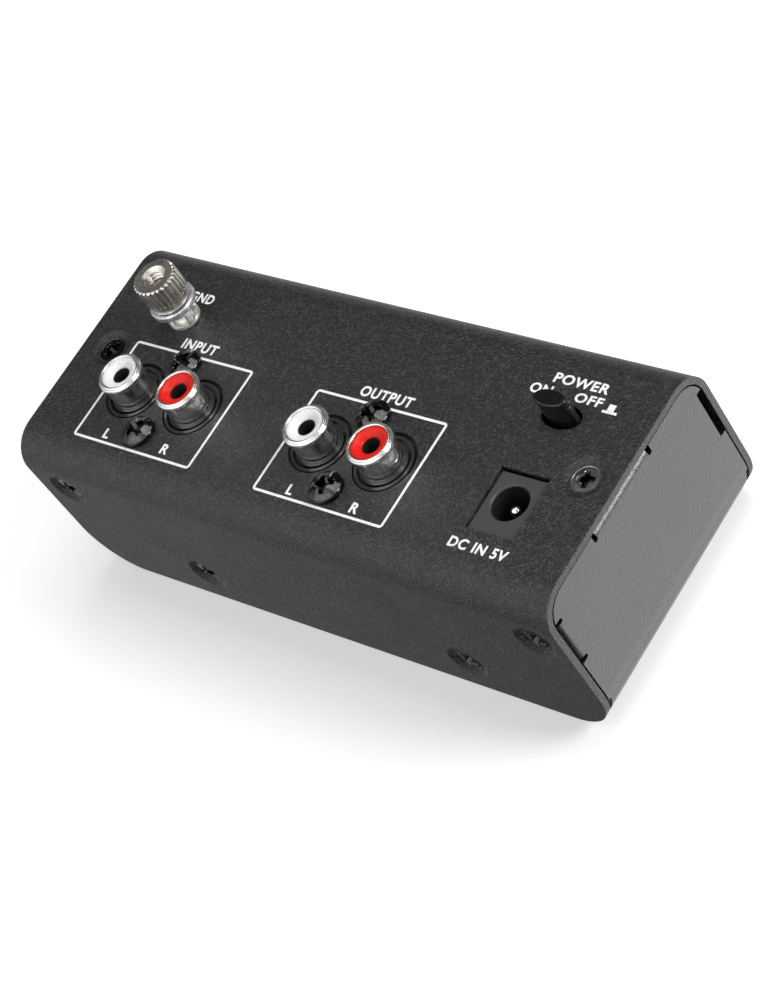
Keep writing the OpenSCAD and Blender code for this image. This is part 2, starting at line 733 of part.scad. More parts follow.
module supply_pin() {
    tip_y = supply_y0 + 0.7;
    tail_y0 = supply_y0 + pin_tail_y - tail_t / 2;
    color([0.85, 0.84, 0.8]) {
        along_y(supply_x, tip_y, socket_z) cylinder(d1 = pin_d * 0.7, d2 = pin_d, h = 0.4);
        along_y(supply_x, tip_y + 0.4, socket_z) cylinder(d = pin_d, h = tail_y0 - tip_y);
        translate([supply_x - tail_w / 2, tail_y0, board_bottom - tail_below])
            cube([tail_w, tail_t, socket_z + pin_d / 2 - board_bottom + tail_below]);
    }
}

// Spring contact below the socket, with its tail to the board
module supply_spring_contact() {
    leaf_z = socket_z - socket_d / 2 - 0.6;
    tail_y0 = supply_y0 + supply_tail_y - tail_t / 2;
    color([0.8, 0.78, 0.7]) {
        translate([supply_x - spring_slot_w / 2, supply_y0 + 2.6, leaf_z])
            cube([spring_slot_w, supply_tail_y - 2.6, tail_t]);
        translate([supply_x - tail_w / 2, tail_y0, board_bottom - tail_below])
            cube([tail_w, tail_t, leaf_z + tail_t - board_bottom + tail_below]);
    }
}

// ---- Power switch ----

function riser_pin_x(i) = supply_x + (i - (pin_count - 1) / 2) * pin_pitch;
riser_pin_y = riser_y0 + board_t + 1.3;
riser_top = button_z + switch_side / 2 + 2;
module riser_board() {
    color([0.08, 0.3, 0.16])
    difference() {
        translate([supply_x - riser_w / 2, riser_y0, board_top])
            cube([riser_w, board_t, riser_top - board_top]);
        for (i = [0 : pin_count - 1])
            along_y(riser_pin_x(i), riser_y0 - cut, board_top + 2)
                cylinder(d = 1, h = board_t + 2 * cut, $fn = 24);
    }
}

// Angled pins that join the riser board to the main board
module riser_pins() {
    pin_t = 0.64;
    color([0.8, 0.75, 0.5])
        for (i = [0 : pin_count - 1]) {
            translate([riser_pin_x(i) - pin_t / 2, riser_y0 - 0.05, board_top + 2 - pin_t / 2])
                cube([pin_t, board_t + 1.35 + pin_t / 2, pin_t]);
            translate([riser_pin_x(i) - pin_t / 2, riser_pin_y - pin_t / 2, board_bottom - 0.6])
                cube([pin_t, pin_t, board_t + 2.6 + pin_t / 2]);
        }
}

module switch_body() {
    color([0.1, 0.1, 0.11])
    difference() {
        translate([supply_x - switch_side / 2, switch_y0, button_z - switch_side / 2])
            cube([switch_side, switch_l, switch_side]);
        along_y(supply_x, switch_y0 + switch_wall, button_z)
            cylinder(d = switch_bore, h = switch_l - 2 * switch_wall);
        translate([supply_x - stem_t / 2 - 0.15, switch_y0 - cut, button_z - stem_t / 2 - 0.15])
            cube([stem_t + 0.3, switch_wall + 2 * cut, stem_t + 0.3]);
    }
}

// Plunger: a square stem that carries the button, and a round flange that the spring pushes
module switch_plunger() {
    color([0.9, 0.9, 0.88]) {
        translate([supply_x - stem_t / 2, stem_y0, button_z - stem_t / 2])
            cube([stem_t, flange_y0 - stem_y0 + seam, stem_t]);
        along_y(supply_x, flange_y0, button_z) cylinder(d = flange_d, h = flange_t);
    }
}

// Wound spring: an unbroken tube of six-sided rings along a helix
spring_steps = 16;
spring_sides = 6;
spring_rise = spring_y1 - spring_y0 - spring_wire;
function spring_centre(i) =
    [spring_r * cos(360 * i / spring_steps), spring_r * sin(360 * i / spring_steps),
     spring_wire / 2 + spring_rise * i / (spring_steps * spring_turns)];
function spring_ring(i) =
    [for (k = [0 : spring_sides - 1]) let (a = 360 * k / spring_sides, t = 360 * i / spring_steps)
        spring_centre(i) + spring_wire / 2 * [cos(a) * cos(t), cos(a) * sin(t), sin(a)]];
spring_count = spring_steps * spring_turns;
spring_points = [for (i = [0 : spring_count]) for (p = spring_ring(i)) p];
spring_faces = concat(
    [for (i = [0 : spring_count - 1], k = [0 : spring_sides - 1])
        let (a = i * spring_sides, k2 = (k + 1) % spring_sides) [a + k, a + k2, a + spring_sides + k]],
    [for (i = [0 : spring_count - 1], k = [0 : spring_sides - 1])
        let (a = i * spring_sides, k2 = (k + 1) % spring_sides)
            [a + k2, a + spring_sides + k2, a + spring_sides + k]],
    [for (k = [1 : spring_sides - 2]) [0, k + 1, k]],
    [for (k = [1 : spring_sides - 2]) let (e = spring_count * spring_sides) [e, e + k, e + k + 1]]);
echo(least_spring_gap = norm(spring_centre(spring_steps) - spring_centre(0)) - spring_wire);

module switch_spring() {
    color([0.7, 0.7, 0.72])
        along_y(supply_x, spring_y0, button_z) polyhedron(points = spring_points, faces = spring_faces);
}

module power_button() {
    edge = 0.25;
    color([0.05, 0.05, 0.06])
    difference() {
        union() {
            along_y(supply_x, button_front + edge, button_z)
                linear_extrude(button_back - button_front - edge) polygon(oval(button_w, button_h));
            along_y(supply_x, button_front, button_z)
                linear_extrude(edge + seam) polygon(oval(button_w - 2 * edge, button_h - 2 * edge));
            translate([supply_x + button_w / 2 - 1, button_front + 1.3, button_z - 0.5])
                cube([1 + button_key, button_back - button_front - 1.3, 1]);
        }
        translate([supply_x - stem_t / 2 - seam, stem_y0, button_z - stem_t / 2 - seam])
            cube([stem_t + 2 * seam, socket_depth + cut, stem_t + 2 * seam]);
    }
}

// ---- Ground post ----

module ground_post() {
    foot_ring = 0.95;
    window_y = rear_y - foot_ring - window_h;
    color([0.78, 0.77, 0.74])
    difference() {
        union() {
            along_y(post_x, post_top, post_z) cylinder(d = post_d, h = post_h - seam);
            along_y(post_x, stud_y0, post_z) cylinder(d = stud_d, h = stud_tail - stud_y0);
        }
        translate([post_x, window_y, post_z])
            for (turn = [post_turn, post_turn + 90])
                rotate([0, -turn, 0]) translate([-post_d, 0, -window_w / 2])
                    cube([2 * post_d, window_h, window_w]);
    }
}

module ground_washer() {
    color([0.86, 0.88, 0.9])
        along_y(post_x, washer_y0, post_z) ring(washer_d, stud_d + 2 * run_gap, washer_t);
}

module ground_thumb_nut() {
    groove_r = knurl_d * PI / knurl_n * 0.28;
    color([0.62, 0.6, 0.57])
    difference() {
        union() {
            along_y(post_x, nut_y0, post_z) cylinder(d = knurl_d, h = knurl_l);
            along_y(post_x, nut_y0 + knurl_l - seam, post_z)
                cylinder(d = collar_d, h = collar_l + seam);
        }
        for (i = [0 : knurl_n - 1])
            along_y(post_x, nut_y0 - cut, post_z) rotate([0, 0, i * 360 / knurl_n])
                translate([knurl_d / 2 + groove_r * 0.15, 0, 0])
                    cylinder(r = groove_r, h = knurl_l + cut, $fn = 16);
        along_y(post_x, nut_y0 - cut, post_z) cylinder(d = stud_d + 2 * run_gap, h = nut_l + 2 * cut);
        along_y(post_x, nut_y0 - seam, post_z) cylinder(d1 = stud_d + 1, d2 = stud_d, h = 0.5);
    }
}

module ground_lock_washer() {
    color([0.8, 0.8, 0.8])
        along_y(post_x, panel_in, post_z) ring(lock_washer_d, stud_d + 2 * hole_gap, lock_washer_t);
}

module ground_hex_nuts() {
    color([0.8, 0.78, 0.7])
        for (y = [panel_in + lock_washer_t, lug_y0 + lug_t])
            along_y(post_x, y, post_z) difference() {
                hex_prism(hex_nut_af, hex_nut_t);
                translate([0, 0, -cut])
                    cylinder(d = stud_d + 2 * thread_gap, h = hex_nut_t + 2 * cut);
            }
}

module ground_lug() {
    color([0.85, 0.85, 0.83]) {
        along_y(post_x, lug_y0, post_z) ring(lock_washer_d, stud_d + 2 * hole_gap, lug_t);
        translate([wire_x - wire_d, lug_y0, post_z - wire_d])
            cube([post_x - 3 - wire_x + wire_d, lug_t, 2 * wire_d]);
    }
}

module ground_wire() {
    color([0.1, 0.4, 0.15])
        translate([wire_x, lug_y0 + lug_t + wire_d / 2, board_top])
            cylinder(d = wire_d, h = post_z + wire_d - board_top);
}

// ---- Parts on the board ----

// Indicator lamp in the front panel, with its two leads bent down to the board
module power_lamp() {
    lead = 0.5;
    back = front_in - 1.4;
    color([0.3, 0.45, 0.9]) {
        along_y(led_x, back, led_z) cylinder(d = led_d + 0.8, h = 1.2);
        along_y(led_x, back, led_z) cylinder(d = led_d, h = front_y - back - 0.5);
        along_y(led_x, front_y - 0.52, led_z) cylinder(d1 = led_d, d2 = led_d * 0.6, h = 0.5);
        for (x = [-1.27, 1.27]) {
            translate([led_x + x - lead / 2, back - 1.2, led_z - lead / 2]) cube([lead, 1.3, lead]);
            translate([led_x + x - lead / 2, back - 1.2, board_top])
                cube([lead, lead, led_z + lead / 2 - board_top]);
        }
    }
}

// Eight-pin chip: body raised on its legs
module chip(x, y) {
    leg_h = 0.7;
    translate([x - chip_l / 2, y - chip_w / 2, board_top + leg_h]) cube([chip_l, chip_w, chip_h]);
    for (i = [0 : 3], side = [-1, 1])
        translate([x + (i - 1.5) * pin_pitch - 0.3, y + side * (chip_w / 2 + 0.1) - 0.2, board_top])
            cube([0.6, 0.4, leg_h + chip_h / 2]);
}

// Upright electrolytic capacitor with its vent cross
module can_capacitor(x, y, d, h) {
    groove_h = 0.6;
    groove_z = 1.6;
    vent_w = 0.3;
    difference() {
        translate([x, y, board_top]) cylinder(d = d, h = h);
        translate([x, y, board_top + groove_z]) ring(d + 1, d - 0.5, groove_h);
        for (a = [0, 90]) translate([x, y, board_top + h]) rotate([0, 0, a])
            translate([-d / 3, -vent_w / 2, -vent_w]) cube([d / 1.5, vent_w, 1]);
    }
}

// Axial part that lies along Y on its bent leads
module axial_part(x, y, d, l) {
    axis_z = board_top + d / 2 + 0.4;
    along_y(x, y - l / 2, axis_z) cylinder(d = d, h = l);
    translate([x - lead_t / 2, y - l / 2 - lead_run, axis_z - lead_t / 2])
        cube([lead_t, l + 2 * lead_run, lead_t]);
    for (side = [-1, 1])
        translate([x - lead_t / 2, y + side * (l / 2 + lead_run - lead_t / 2) - lead_t / 2, board_top])
            cube([lead_t, lead_t, axis_z - board_top]);
}

// Each channel has a row of parts behind its jacks and a row near the front edge.
// The left channel is placed from the board's end, the supply's parts from the riser board,
// and what lies between them is spread evenly.
back_edge = housing_y1 + row_gap;
front_edge = board_y1 - row_gap;
back_row = back_edge + chip_w / 2 + 0.3;
front_row = front_edge - resistor_l / 2 - lead_run;
channel_half = chip_l / 2 + part_gap + can_d;
diode_x = supply_x - riser_w / 2 - part_gap - diode_d / 2;
supply_can_x = diode_x - diode_d / 2 - part_gap - tall_can_d / 2;
left_x = -board_w / 2 + part_gap + channel_half;
spread = (supply_can_x - tall_can_d / 2 - left_x - 3 * channel_half - chip_l) / 3;
right_x = left_x + 2 * channel_half + spread;
converter_x = right_x + channel_half + spread + chip_l / 2;
can_run = channel_half - can_d / 2;     // from a channel's chip to its capacitors

module input_can(x) { color(can_blue) can_capacitor(x - can_run, back_row, can_d, can_h); }
module output_can(x) { color(can_blue) can_capacitor(x + can_run, back_row, can_d, can_h); }
module op_amp(x) { color(chip_black) chip(x, back_row); }
module film_box(x) {
    color([0.72, 0.16, 0.12])
        translate([x - film_l - part_gap, front_edge - film_w, board_top]) cube([film_l, film_w, film_h]);
}
module gain_resistor(x) {
    color([0.45, 0.65, 0.8]) axial_part(x + resistor_d / 2, front_row, resistor_d, resistor_l);
}
module load_resistor(x) {
    color([0.45, 0.65, 0.8])
        axial_part(x + 1.5 * resistor_d + 2 * part_gap, front_row, resistor_d, resistor_l);
}

module voltage_converter() { color(chip_black) chip(converter_x, back_row); }
module rail_capacitor() {
    color(can_blue)
        can_capacitor(converter_x - part_gap - tall_can_d / 2, front_edge - tall_can_d / 2,
                      tall_can_d, tall_can_h);
}
module filter_choke() {
    color([0.2, 0.2, 0.21])
        can_capacitor(converter_x + part_gap + choke_d / 2, front_edge - choke_d / 2, choke_d, choke_h);
}
module supply_capacitor() {
    color(can_blue)
        can_capacitor(supply_can_x, back_edge + tall_can_d / 2, tall_can_d, tall_can_h);
}
module supply_diode() {
    color(chip_black) axial_part(diode_x, back_edge + diode_l / 2 + lead_run, diode_d, diode_l);
}

// ---- The parts ----

rear_shell();
front_shell();
rear_screws();
end_screws();
spacer_screws();
board_spacers();
board_screws();
main_board();
jack_housing(0);  // input_jack_housing
jack_housing(2);  // output_jack_housing
sleeve(0);  // input_left_sleeve
sleeve(1);  // input_right_sleeve
sleeve(2);  // output_left_sleeve
sleeve(3);  // output_right_sleeve
insulator(jack_xs[0], white);  // input_left_insulator
insulator(jack_xs[1], red);  // input_right_insulator
insulator(jack_xs[2], white);  // output_left_insulator
insulator(jack_xs[3], red);  // output_right_insulator
contact(jack_xs[0]);  // input_left_contact
contact(jack_xs[1]);  // input_right_contact
contact(jack_xs[2]);  // output_left_contact
contact(jack_xs[3]);  // output_right_contact
jack_screws();
supply_jack();
supply_pin();
supply_spring_contact();
riser_board();
riser_pins();
switch_body();
switch_plunger();
switch_spring();
power_button();
ground_post();
ground_washer();
ground_thumb_nut();
ground_lock_washer();
ground_hex_nuts();
ground_lug();
ground_wire();
power_lamp();
op_amp(left_x);  // left_op_amp
op_amp(right_x);  // right_op_amp
voltage_converter();
filter_choke();
supply_diode();
film_box(left_x);  // left_film_capacitor
film_box(right_x);  // right_film_capacitor
input_can(left_x);  // left_input_capacitor
input_can(right_x);  // right_input_capacitor
output_can(left_x);  // left_output_capacitor
output_can(right_x);  // right_output_capacitor
supply_capacitor();
rail_capacitor();
gain_resistor(left_x);  // left_gain_resistor
gain_resistor(right_x);  // right_gain_resistor
load_resistor(left_x);  // left_load_resistor
load_resistor(right_x);  // right_load_resistor
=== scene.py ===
"""Looks of a small phono preamp: finishes, turned and printed pieces, and a studio.

Lengths are in metres unless a name or a comment says mm. The part's frame has +Z up, and the
connector panel faces -Y. The preamp lies on its front panel, which faces +Y, on the floor.
"""

import math
from contextlib import contextmanager

import bmesh
import bpy
from bpy.props import FloatProperty, FloatVectorProperty, IntProperty, PointerProperty
from mathutils import Matrix, Vector


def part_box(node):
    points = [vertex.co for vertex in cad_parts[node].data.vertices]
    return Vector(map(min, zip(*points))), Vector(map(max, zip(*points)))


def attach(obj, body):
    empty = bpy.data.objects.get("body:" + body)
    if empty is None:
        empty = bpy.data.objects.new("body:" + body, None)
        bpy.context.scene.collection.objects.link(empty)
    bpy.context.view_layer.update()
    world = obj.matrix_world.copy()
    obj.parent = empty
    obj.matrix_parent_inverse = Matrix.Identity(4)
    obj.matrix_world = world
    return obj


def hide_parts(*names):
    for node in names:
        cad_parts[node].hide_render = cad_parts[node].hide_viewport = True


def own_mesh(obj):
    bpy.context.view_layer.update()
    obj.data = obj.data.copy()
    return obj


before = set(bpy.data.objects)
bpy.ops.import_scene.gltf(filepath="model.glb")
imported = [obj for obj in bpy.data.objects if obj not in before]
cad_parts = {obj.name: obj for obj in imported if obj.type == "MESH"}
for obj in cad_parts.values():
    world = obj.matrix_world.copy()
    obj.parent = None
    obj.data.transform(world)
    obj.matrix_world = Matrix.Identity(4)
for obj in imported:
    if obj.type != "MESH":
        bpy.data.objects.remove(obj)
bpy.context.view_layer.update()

bl_info = {
    "name": "Phono preamp looks",
    "version": (1, 0, 0),
    "blender": (4, 5, 0),
    "location": "3D View > Sidebar > Phono preamp",
    "description": "Dresses a phono preamp with finishes, turned and printed pieces and a studio",
    "category": "Object",
}

MM = 0.001
PAIRS = ("input", "output")
CHANNELS = ("left", "right")
WELD = 0.0005 * MM  # points nearer than this are one point
FLAT_ANGLE = 13.0  # degrees under which the faces of a sheet's bends are shaded as one
INK_BACK = 0.01 * MM  # how far the ink's back lies under the panel's face
SCREW_R = 1.5  # mm, M3
JACK_SCREW_HEAD = 6.0  # mm across
THREAD_STEP = 0.07  # mm between the rings of a drawn thread


# ---- Places, read from the packed solids ----

def box(node):
    """Lowest and highest corner of a node, as vectors."""
    low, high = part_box(node)
    return Vector(low), Vector(high)


def centre(node):
    low, high = box(node)
    return (low + high) / 2


def ends(node, radius):
    """Centres of two like pieces that share a node and lie side by side along X."""
    low, high = box(node)
    return [low.x + radius, high.x - radius]


PANEL_Y = box("rear_shell")[0].y
HALF_WIDTH = box("rear_shell")[1].x
FLOOR_Y = box("front_shell")[1].y + 0.05 * MM  # clear of the front panel that lies on it


# ---- Settings ----

def length_prop(name, description, default_mm):
    return FloatProperty(name=name, description=description, default=default_mm * MM,
                         unit="LENGTH")


def share_prop(name, description, default):
    return FloatProperty(name=name, description=description, default=default, subtype="FACTOR")


def power_prop(name, description, default):
    return FloatProperty(name=name, description=description, default=default, unit="POWER")


def level_prop(name, description, default):
    return FloatProperty(name=name, description=description, default=default)


def colour_prop(name, description, *default):
    return FloatVectorProperty(name=name, description=description, subtype="COLOR", size=4,
                               default=(*default, 1))


def direction_prop(name, description, default):
    return FloatVectorProperty(name=name, description=description, default=default,
                               subtype="DIRECTION")


class FinishSettings(bpy.types.PropertyGroup):
    """Colours and grain of the finishes."""

    coat_colour: colour_prop("Coat", "Powder coat of the case", 0.007, 0.007, 0.0077)
    # lighter grains scattered at random: the coat's grain tone and painted glints of its specks
    coat_glint_grains: colour_prop("Coat, light grains", "Grains that catch the light",
                            0.05, 0.05, 0.052)
    coat_grain: length_prop("Coat grain", "Width of the coat's grains", 0.3)
    coat_depth: length_prop("Coat depth", "Height of the coat's grains", 0.2)
    coat_roughness: share_prop("Coat roughness", "Gloss of the coat", 0.37)
    edge_colour: colour_prop("Sheet edge", "Thin coat on the cut edges", 0.03, 0.03, 0.031)
    edge_round: length_prop("Edge round", "Rounding of the sheets' cut edges", 0.3)
    nickel_colour: colour_prop("Nickel", "Plating of the jacks and the supply pin",
                               0.68, 0.67, 0.645)
    post_colour: colour_prop("Post", "Plating of the ground post", 0.9, 0.89, 0.86)
    worn_nickel_colour: colour_prop("Worn nickel", "Plating of the thumb nut", 0.5, 0.47, 0.43)
    zinc_colour: colour_prop("Zinc", "Plating of the loose washer", 0.72, 0.76, 0.78)
    white_colour: colour_prop("White", "Left channels' insulators", 0.8, 0.81, 0.83)
    red_colour: colour_prop("Red", "Right channels' insulators", 0.72, 0.012, 0.006)
    ink_colour: colour_prop("Ink", "Screen print", 0.92, 0.93, 0.94)
    button_colour: colour_prop("Button", "Moulded button cap", 0.008, 0.008, 0.009)
    moulding_colour: colour_prop("Moulding", "Black mouldings of the jacks", 0.02, 0.02, 0.021)
    black_steel_colour: colour_prop("Black steel", "Blackened screws", 0.06, 0.058, 0.056)


class PrintSettings(bpy.types.PropertyGroup):
    """Screen print on the connector panel."""

    line_width: length_prop("Line width", "Width of the frames' lines", 0.46)
    thickness: length_prop("Ink thickness", "How far the ink stands proud", 0.025)
    corner: length_prop("Corner", "Outer radius of the frames' corners", 0.7)
    weight: share_prop("Weight", "How much the strokes are thickened, of the height", 0.03)
    spacing: share_prop("Letter spacing", "Space between letters, as a share of the usual", 1.12)


class JackSettings(bpy.types.PropertyGroup):
    """Turned pieces of the phono jacks."""

    roll: length_prop("Rim roll", "How far the rolled rim curls back", 1.5)
    wall: length_prop("Wall", "Wall of the sleeve", 0.6)
    tongue_width: length_prop("Tongue width", "Width of the sleeve's spring tongue", 2.1)
    tongue_length: length_prop("Tongue length", "Length of the spring tongue", 2.2)


class ScrewSettings(bpy.types.PropertyGroup):
    """Heads and cross recesses."""

    span: share_prop("Recess span", "Recess over its arms, as a share of the head", 0.64)
    arm: length_prop("Arm width", "Width of a recess arm", 1.0)
    depth: length_prop("Recess depth", "Depth of the recess", 1.5)


class PostSettings(bpy.types.PropertyGroup):
    """Ground post and its thumb nut."""

    grooves: IntProperty(name="Grooves", description="Grooves of the knurl", default=26)
    groove_depth: length_prop("Groove depth", "Depth of a groove", 0.42)
    pitch: length_prop("Thread pitch", "Rise of one turn", 0.7)
    thread_depth: length_prop("Thread depth", "Depth of the thread", 0.34)


class StageSettings(bpy.types.PropertyGroup):
    """Camera, lamps and floor."""

    camera_place: FloatVectorProperty(name="Camera place", description="Where the camera stands",
                                      default=(0.29783, -0.32115, -0.12947), unit="LENGTH")
    camera_aim: direction_prop("Camera aim", "Direction that the camera looks in",
                               (-0.6366, 0.70017, 0.32327))
    camera_up: direction_prop("Camera up", "Direction that is up in the picture",
                              (-0.21992, -0.56659, 0.79411))
    lens: level_prop("Lens", "Focal length in mm on a 36 mm sensor", 100.11)
    floor_size: length_prop("Floor size", "Side of the floor", 3000)
    floor_colour: colour_prop("Floor", "Colour of the floor", 0.86, 0.86, 0.865)
    floor_lift: level_prop("Floor lift", "Glow of the floor as the camera sees it", 0.37)
    ambient: level_prop("Ambient", "Level of the light from all round", 0.46)
    room: level_prop("Room", "Level that gloss mirrors on the panel's side", 0.1)
    glow: level_prop("Glow", "Level that gloss mirrors below the case", 1.4)
    key_power: power_prop("Key", "Power of the softbox on the right", 3.6)
    fill_power: power_prop("Fill", "Power of the softbox beside the panel", 0.6)
    fold_power: power_prop("Fold", "Power of the softbox that the folds mirror", 5.5)
    top_power: power_prop("Top", "Power of the softbox over the top", 2.3)
    side_power: power_prop("Side", "Power of the softbox at the right end", 1.5)
    low_power: power_prop("Low", "Power of the softbox below the camera", 0.6)


# ---- Shader building ----

def new_group(name, inputs, outputs):
    """Node group with inputs [(name, default)] and outputs of numbers; returns tree, input,
    output."""
    tree = bpy.data.node_groups.new(name, "ShaderNodeTree")
    for label, default in inputs:
        socket = tree.interface.new_socket(name=label, in_out="INPUT",
                                           socket_type="NodeSocketFloat")
        socket.default_value = default
    for label in outputs:
        tree.interface.new_socket(name=label, in_out="OUTPUT", socket_type="NodeSocketFloat")
    return tree, tree.nodes.new("NodeGroupInput"), tree.nodes.new("NodeGroupOutput")


def node(tree, kind, **settings):
    """Adds a node and sets its properties."""
    made = tree.nodes.new(kind)
    for key, value in settings.items():
        setattr(made, key, value)
    return made


def feed(tree, slot, value):
    """Links a socket to an input, or sets the input to a number or a colour."""
    if isinstance(value, bpy.types.NodeSocket):
        tree.links.new(value, slot)
    else:
        slot.default_value = value


def maths(tree, operation, a, b=None, clamp=False):
    """Math node on numbers or sockets; returns its output."""
    made = node(tree, "ShaderNodeMath", operation=operation, use_clamp=clamp)
    feed(tree, made.inputs[0], a)
    if b is not None:
        feed(tree, made.inputs[1], b)
    return made.outputs[0]


def map_range(tree, value, low, high, to_low=0.0, to_high=1.0):
    made = node(tree, "ShaderNodeMapRange")
    for label, given in (("Value", value), ("From Min", low), ("From Max", high),
                         ("To Min", to_low), ("To Max", to_high)):
        feed(tree, made.inputs[label], given)
    return made.outputs["Result"]


def mix_colour(tree, factor, a, b):
    """Mixes two colours, each a tuple or a socket, by a socket."""
    made = node(tree, "ShaderNodeMix", data_type="RGBA")
    factor_slot, a_slot, b_slot, mixed = 0, 6, 7, 2  # a Mix node's sockets for colours
    for slot, value in ((factor_slot, factor), (a_slot, a), (b_slot, b)):
        feed(tree, made.inputs[slot], value)
    return made.outputs[mixed]


def mix_shader(tree, factor, a, b):
    made = node(tree, "ShaderNodeMixShader")
    for slot, value in zip(made.inputs, (factor, a, b)):
        tree.links.new(value, slot)
    return made.outputs[0]


def coordinates(tree, kind):
    return node(tree, "ShaderNodeTexCoord").outputs[kind]


def axes(tree, vector):
    """Outputs X, Y and Z of a vector."""
    made = node(tree, "ShaderNodeSeparateXYZ")
    tree.links.new(vector, made.inputs[0])
    return made.outputs


def scaled_place(tree, per_metre):
    """Object coordinates times a factor, which is a number or a socket."""
    scale = node(tree, "ShaderNodeVectorMath", operation="SCALE")
    tree.links.new(coordinates(tree, "Object"), scale.inputs[0])
    feed(tree, scale.inputs["Scale"], per_metre)
    return scale.outputs[0]


def sized_place(tree, given):
    """Object coordinates over a group's Size, which is in mm."""
    return scaled_place(tree, maths(tree, "DIVIDE", 1 / MM, given.outputs["Size"]))


def noise(tree, vector, detail, rough):
    made = node(tree, "ShaderNodeTexNoise")
    for label, value in (("Vector", vector), ("Scale", 1.0), ("Detail", detail),
                         ("Roughness", rough)):
        feed(tree, made.inputs[label], value)
    return made.outputs["Fac"]


def cells(tree, vector, feature, scale):
    made = node(tree, "ShaderNodeTexVoronoi", feature=feature)
    tree.links.new(vector, made.inputs["Vector"])
    made.inputs["Scale"].default_value = scale
    return made.outputs


def grain_group():
    """Grain of a coat or a moulding: Size is a grain's width in mm. Light marks single grains."""
    tree, given, result = new_group("Grain", [("Size", 0.4)], ["Height", "Light"])
    place = sized_place(tree, given)
    bumps = noise(tree, place, 2.0, 0.6)
    peel = maths(tree, "MULTIPLY", cells(tree, place, "SMOOTH_F1", 1.1)["Distance"], 0.6)
    tree.links.new(maths(tree, "ADD", bumps, peel), result.inputs["Height"])
    chance = node(tree, "ShaderNodeSeparateColor")
    tree.links.new(cells(tree, place, "F1", 1.0)["Color"], chance.inputs[0])
    tree.links.new(map_range(tree, chance.outputs[0], 0.6, 1.0), result.inputs["Light"])
    return tree


def handling_group():
    """Slow change of gloss from handling and uneven coating: Size is a patch's width in mm."""
    tree, given, result = new_group("Handling", [("Size", 12.0)], ["Mask"])
    patches = noise(tree, sized_place(tree, given), 4.0, 0.6)
    tree.links.new(map_range(tree, patches, 0.3, 0.7), result.inputs["Mask"])
    return tree


def turning_group():
    """Marks of a tool on round metal, Size apart in mm: rings along Y, or streaks along it when
    Drawn."""
    tree, given, result = new_group("Turning", [("Size", 0.12), ("Drawn", 0.0)],
                                    ["Height", "Mask"])
    place = axes(tree, sized_place(tree, given))
    drawn, long_mark = given.outputs["Drawn"], 0.04
    across = map_range(tree, drawn, 0.0, 1.0, long_mark, 1.0)
    along = map_range(tree, drawn, 0.0, 1.0, 1.0, long_mark)
    stretched = node(tree, "ShaderNodeCombineXYZ")
    for axis, stretch in (("X", across), ("Y", along), ("Z", across)):
        tree.links.new(maths(tree, "MULTIPLY", place[axis], stretch), stretched.inputs[axis])
    marks = noise(tree, stretched.outputs[0], 2.0, 0.7)
    tree.links.new(marks, result.inputs["Height"])
    tree.links.new(map_range(tree, marks, 0.35, 0.7), result.inputs["Mask"])
    return tree


def cut_edge_group():
    """Cut ends of a sheet that spans X: Half is its half width in metres. Face is 1 on the cut
    face, and Specks marks worn grains on the faces beside it."""
    tree, given, result = new_group("Cut edge", [("Half", 0.059)], ["Face", "Specks"])
    across = maths(tree, "ABSOLUTE", axes(tree, coordinates(tree, "Normal"))["X"])
    aside = maths(tree, "ABSOLUTE", axes(tree, coordinates(tree, "Object"))["X"])
    inset = maths(tree, "SUBTRACT", given.outputs["Half"], aside)
    turned_out = maths(tree, "GREATER_THAN", across, 0.3)
    at_end = maths(tree, "LESS_THAN", inset, 0.25 * MM)
    tree.links.new(maths(tree, "MULTIPLY", turned_out, at_end), result.inputs["Face"])
    near = map_range(tree, inset, 0.0, 0.3 * MM, 1.0, 0.0)
    grains = noise(tree, scaled_place(tree, 3.0 / MM), 3.0, 0.7)
    specks = maths(tree, "MULTIPLY", near, map_range(tree, grains, 0.48, 0.7), clamp=True)
    tree.links.new(specks, result.inputs["Specks"])
    return tree


GROUPS = {}
GROUP_MAKERS = {"Grain": grain_group, "Handling": handling_group, "Turning": turning_group,
                "Cut edge": cut_edge_group}


def effect(tree, name, **values):
    """Places one of the shared effects in a material, sets its inputs and returns its outputs."""
    if name not in GROUPS:
        GROUPS[name] = GROUP_MAKERS[name]()
    made = node(tree, "ShaderNodeGroup", node_tree=GROUPS[name])
    for key, value in values.items():
        made.inputs[key].default_value = value
    return made.outputs


def new_material(name, roughness, metallic=0.0, coat=0.0, shine=0.5):
    """Material with its shader; returns the material, its tree and the shader."""
    made = bpy.data.materials.new(name)
    made.use_nodes = True
    shader = made.node_tree.nodes["Principled BSDF"]
    for label, value in (("Roughness", roughness), ("Metallic", metallic),
                         ("Coat Weight", coat), ("Specular IOR Level", shine)):
        shader.inputs[label].default_value = value
    return made, made.node_tree, shader


def surface(tree, shader, shade, mask, low, high, height, depth):
    """Gives a shader its colour, a roughness between two levels by a mask, and its bumps."""
    tree.links.new(shade, shader.inputs["Base Color"])
    tree.links.new(map_range(tree, mask, 0.0, 1.0, low, high), shader.inputs["Roughness"])
    bumps = node(tree, "ShaderNodeBump")
    for label, value in (("Height", height), ("Distance", depth), ("Strength", 1.0)):
        feed(tree, bumps.inputs[label], value)
    tree.links.new(bumps.outputs[0], shader.inputs["Normal"])


def scaled(colour, factor):
    return tuple(min(1.0, c * factor) for c in colour[:3]) + (1.0,)


# ---- Materials ----

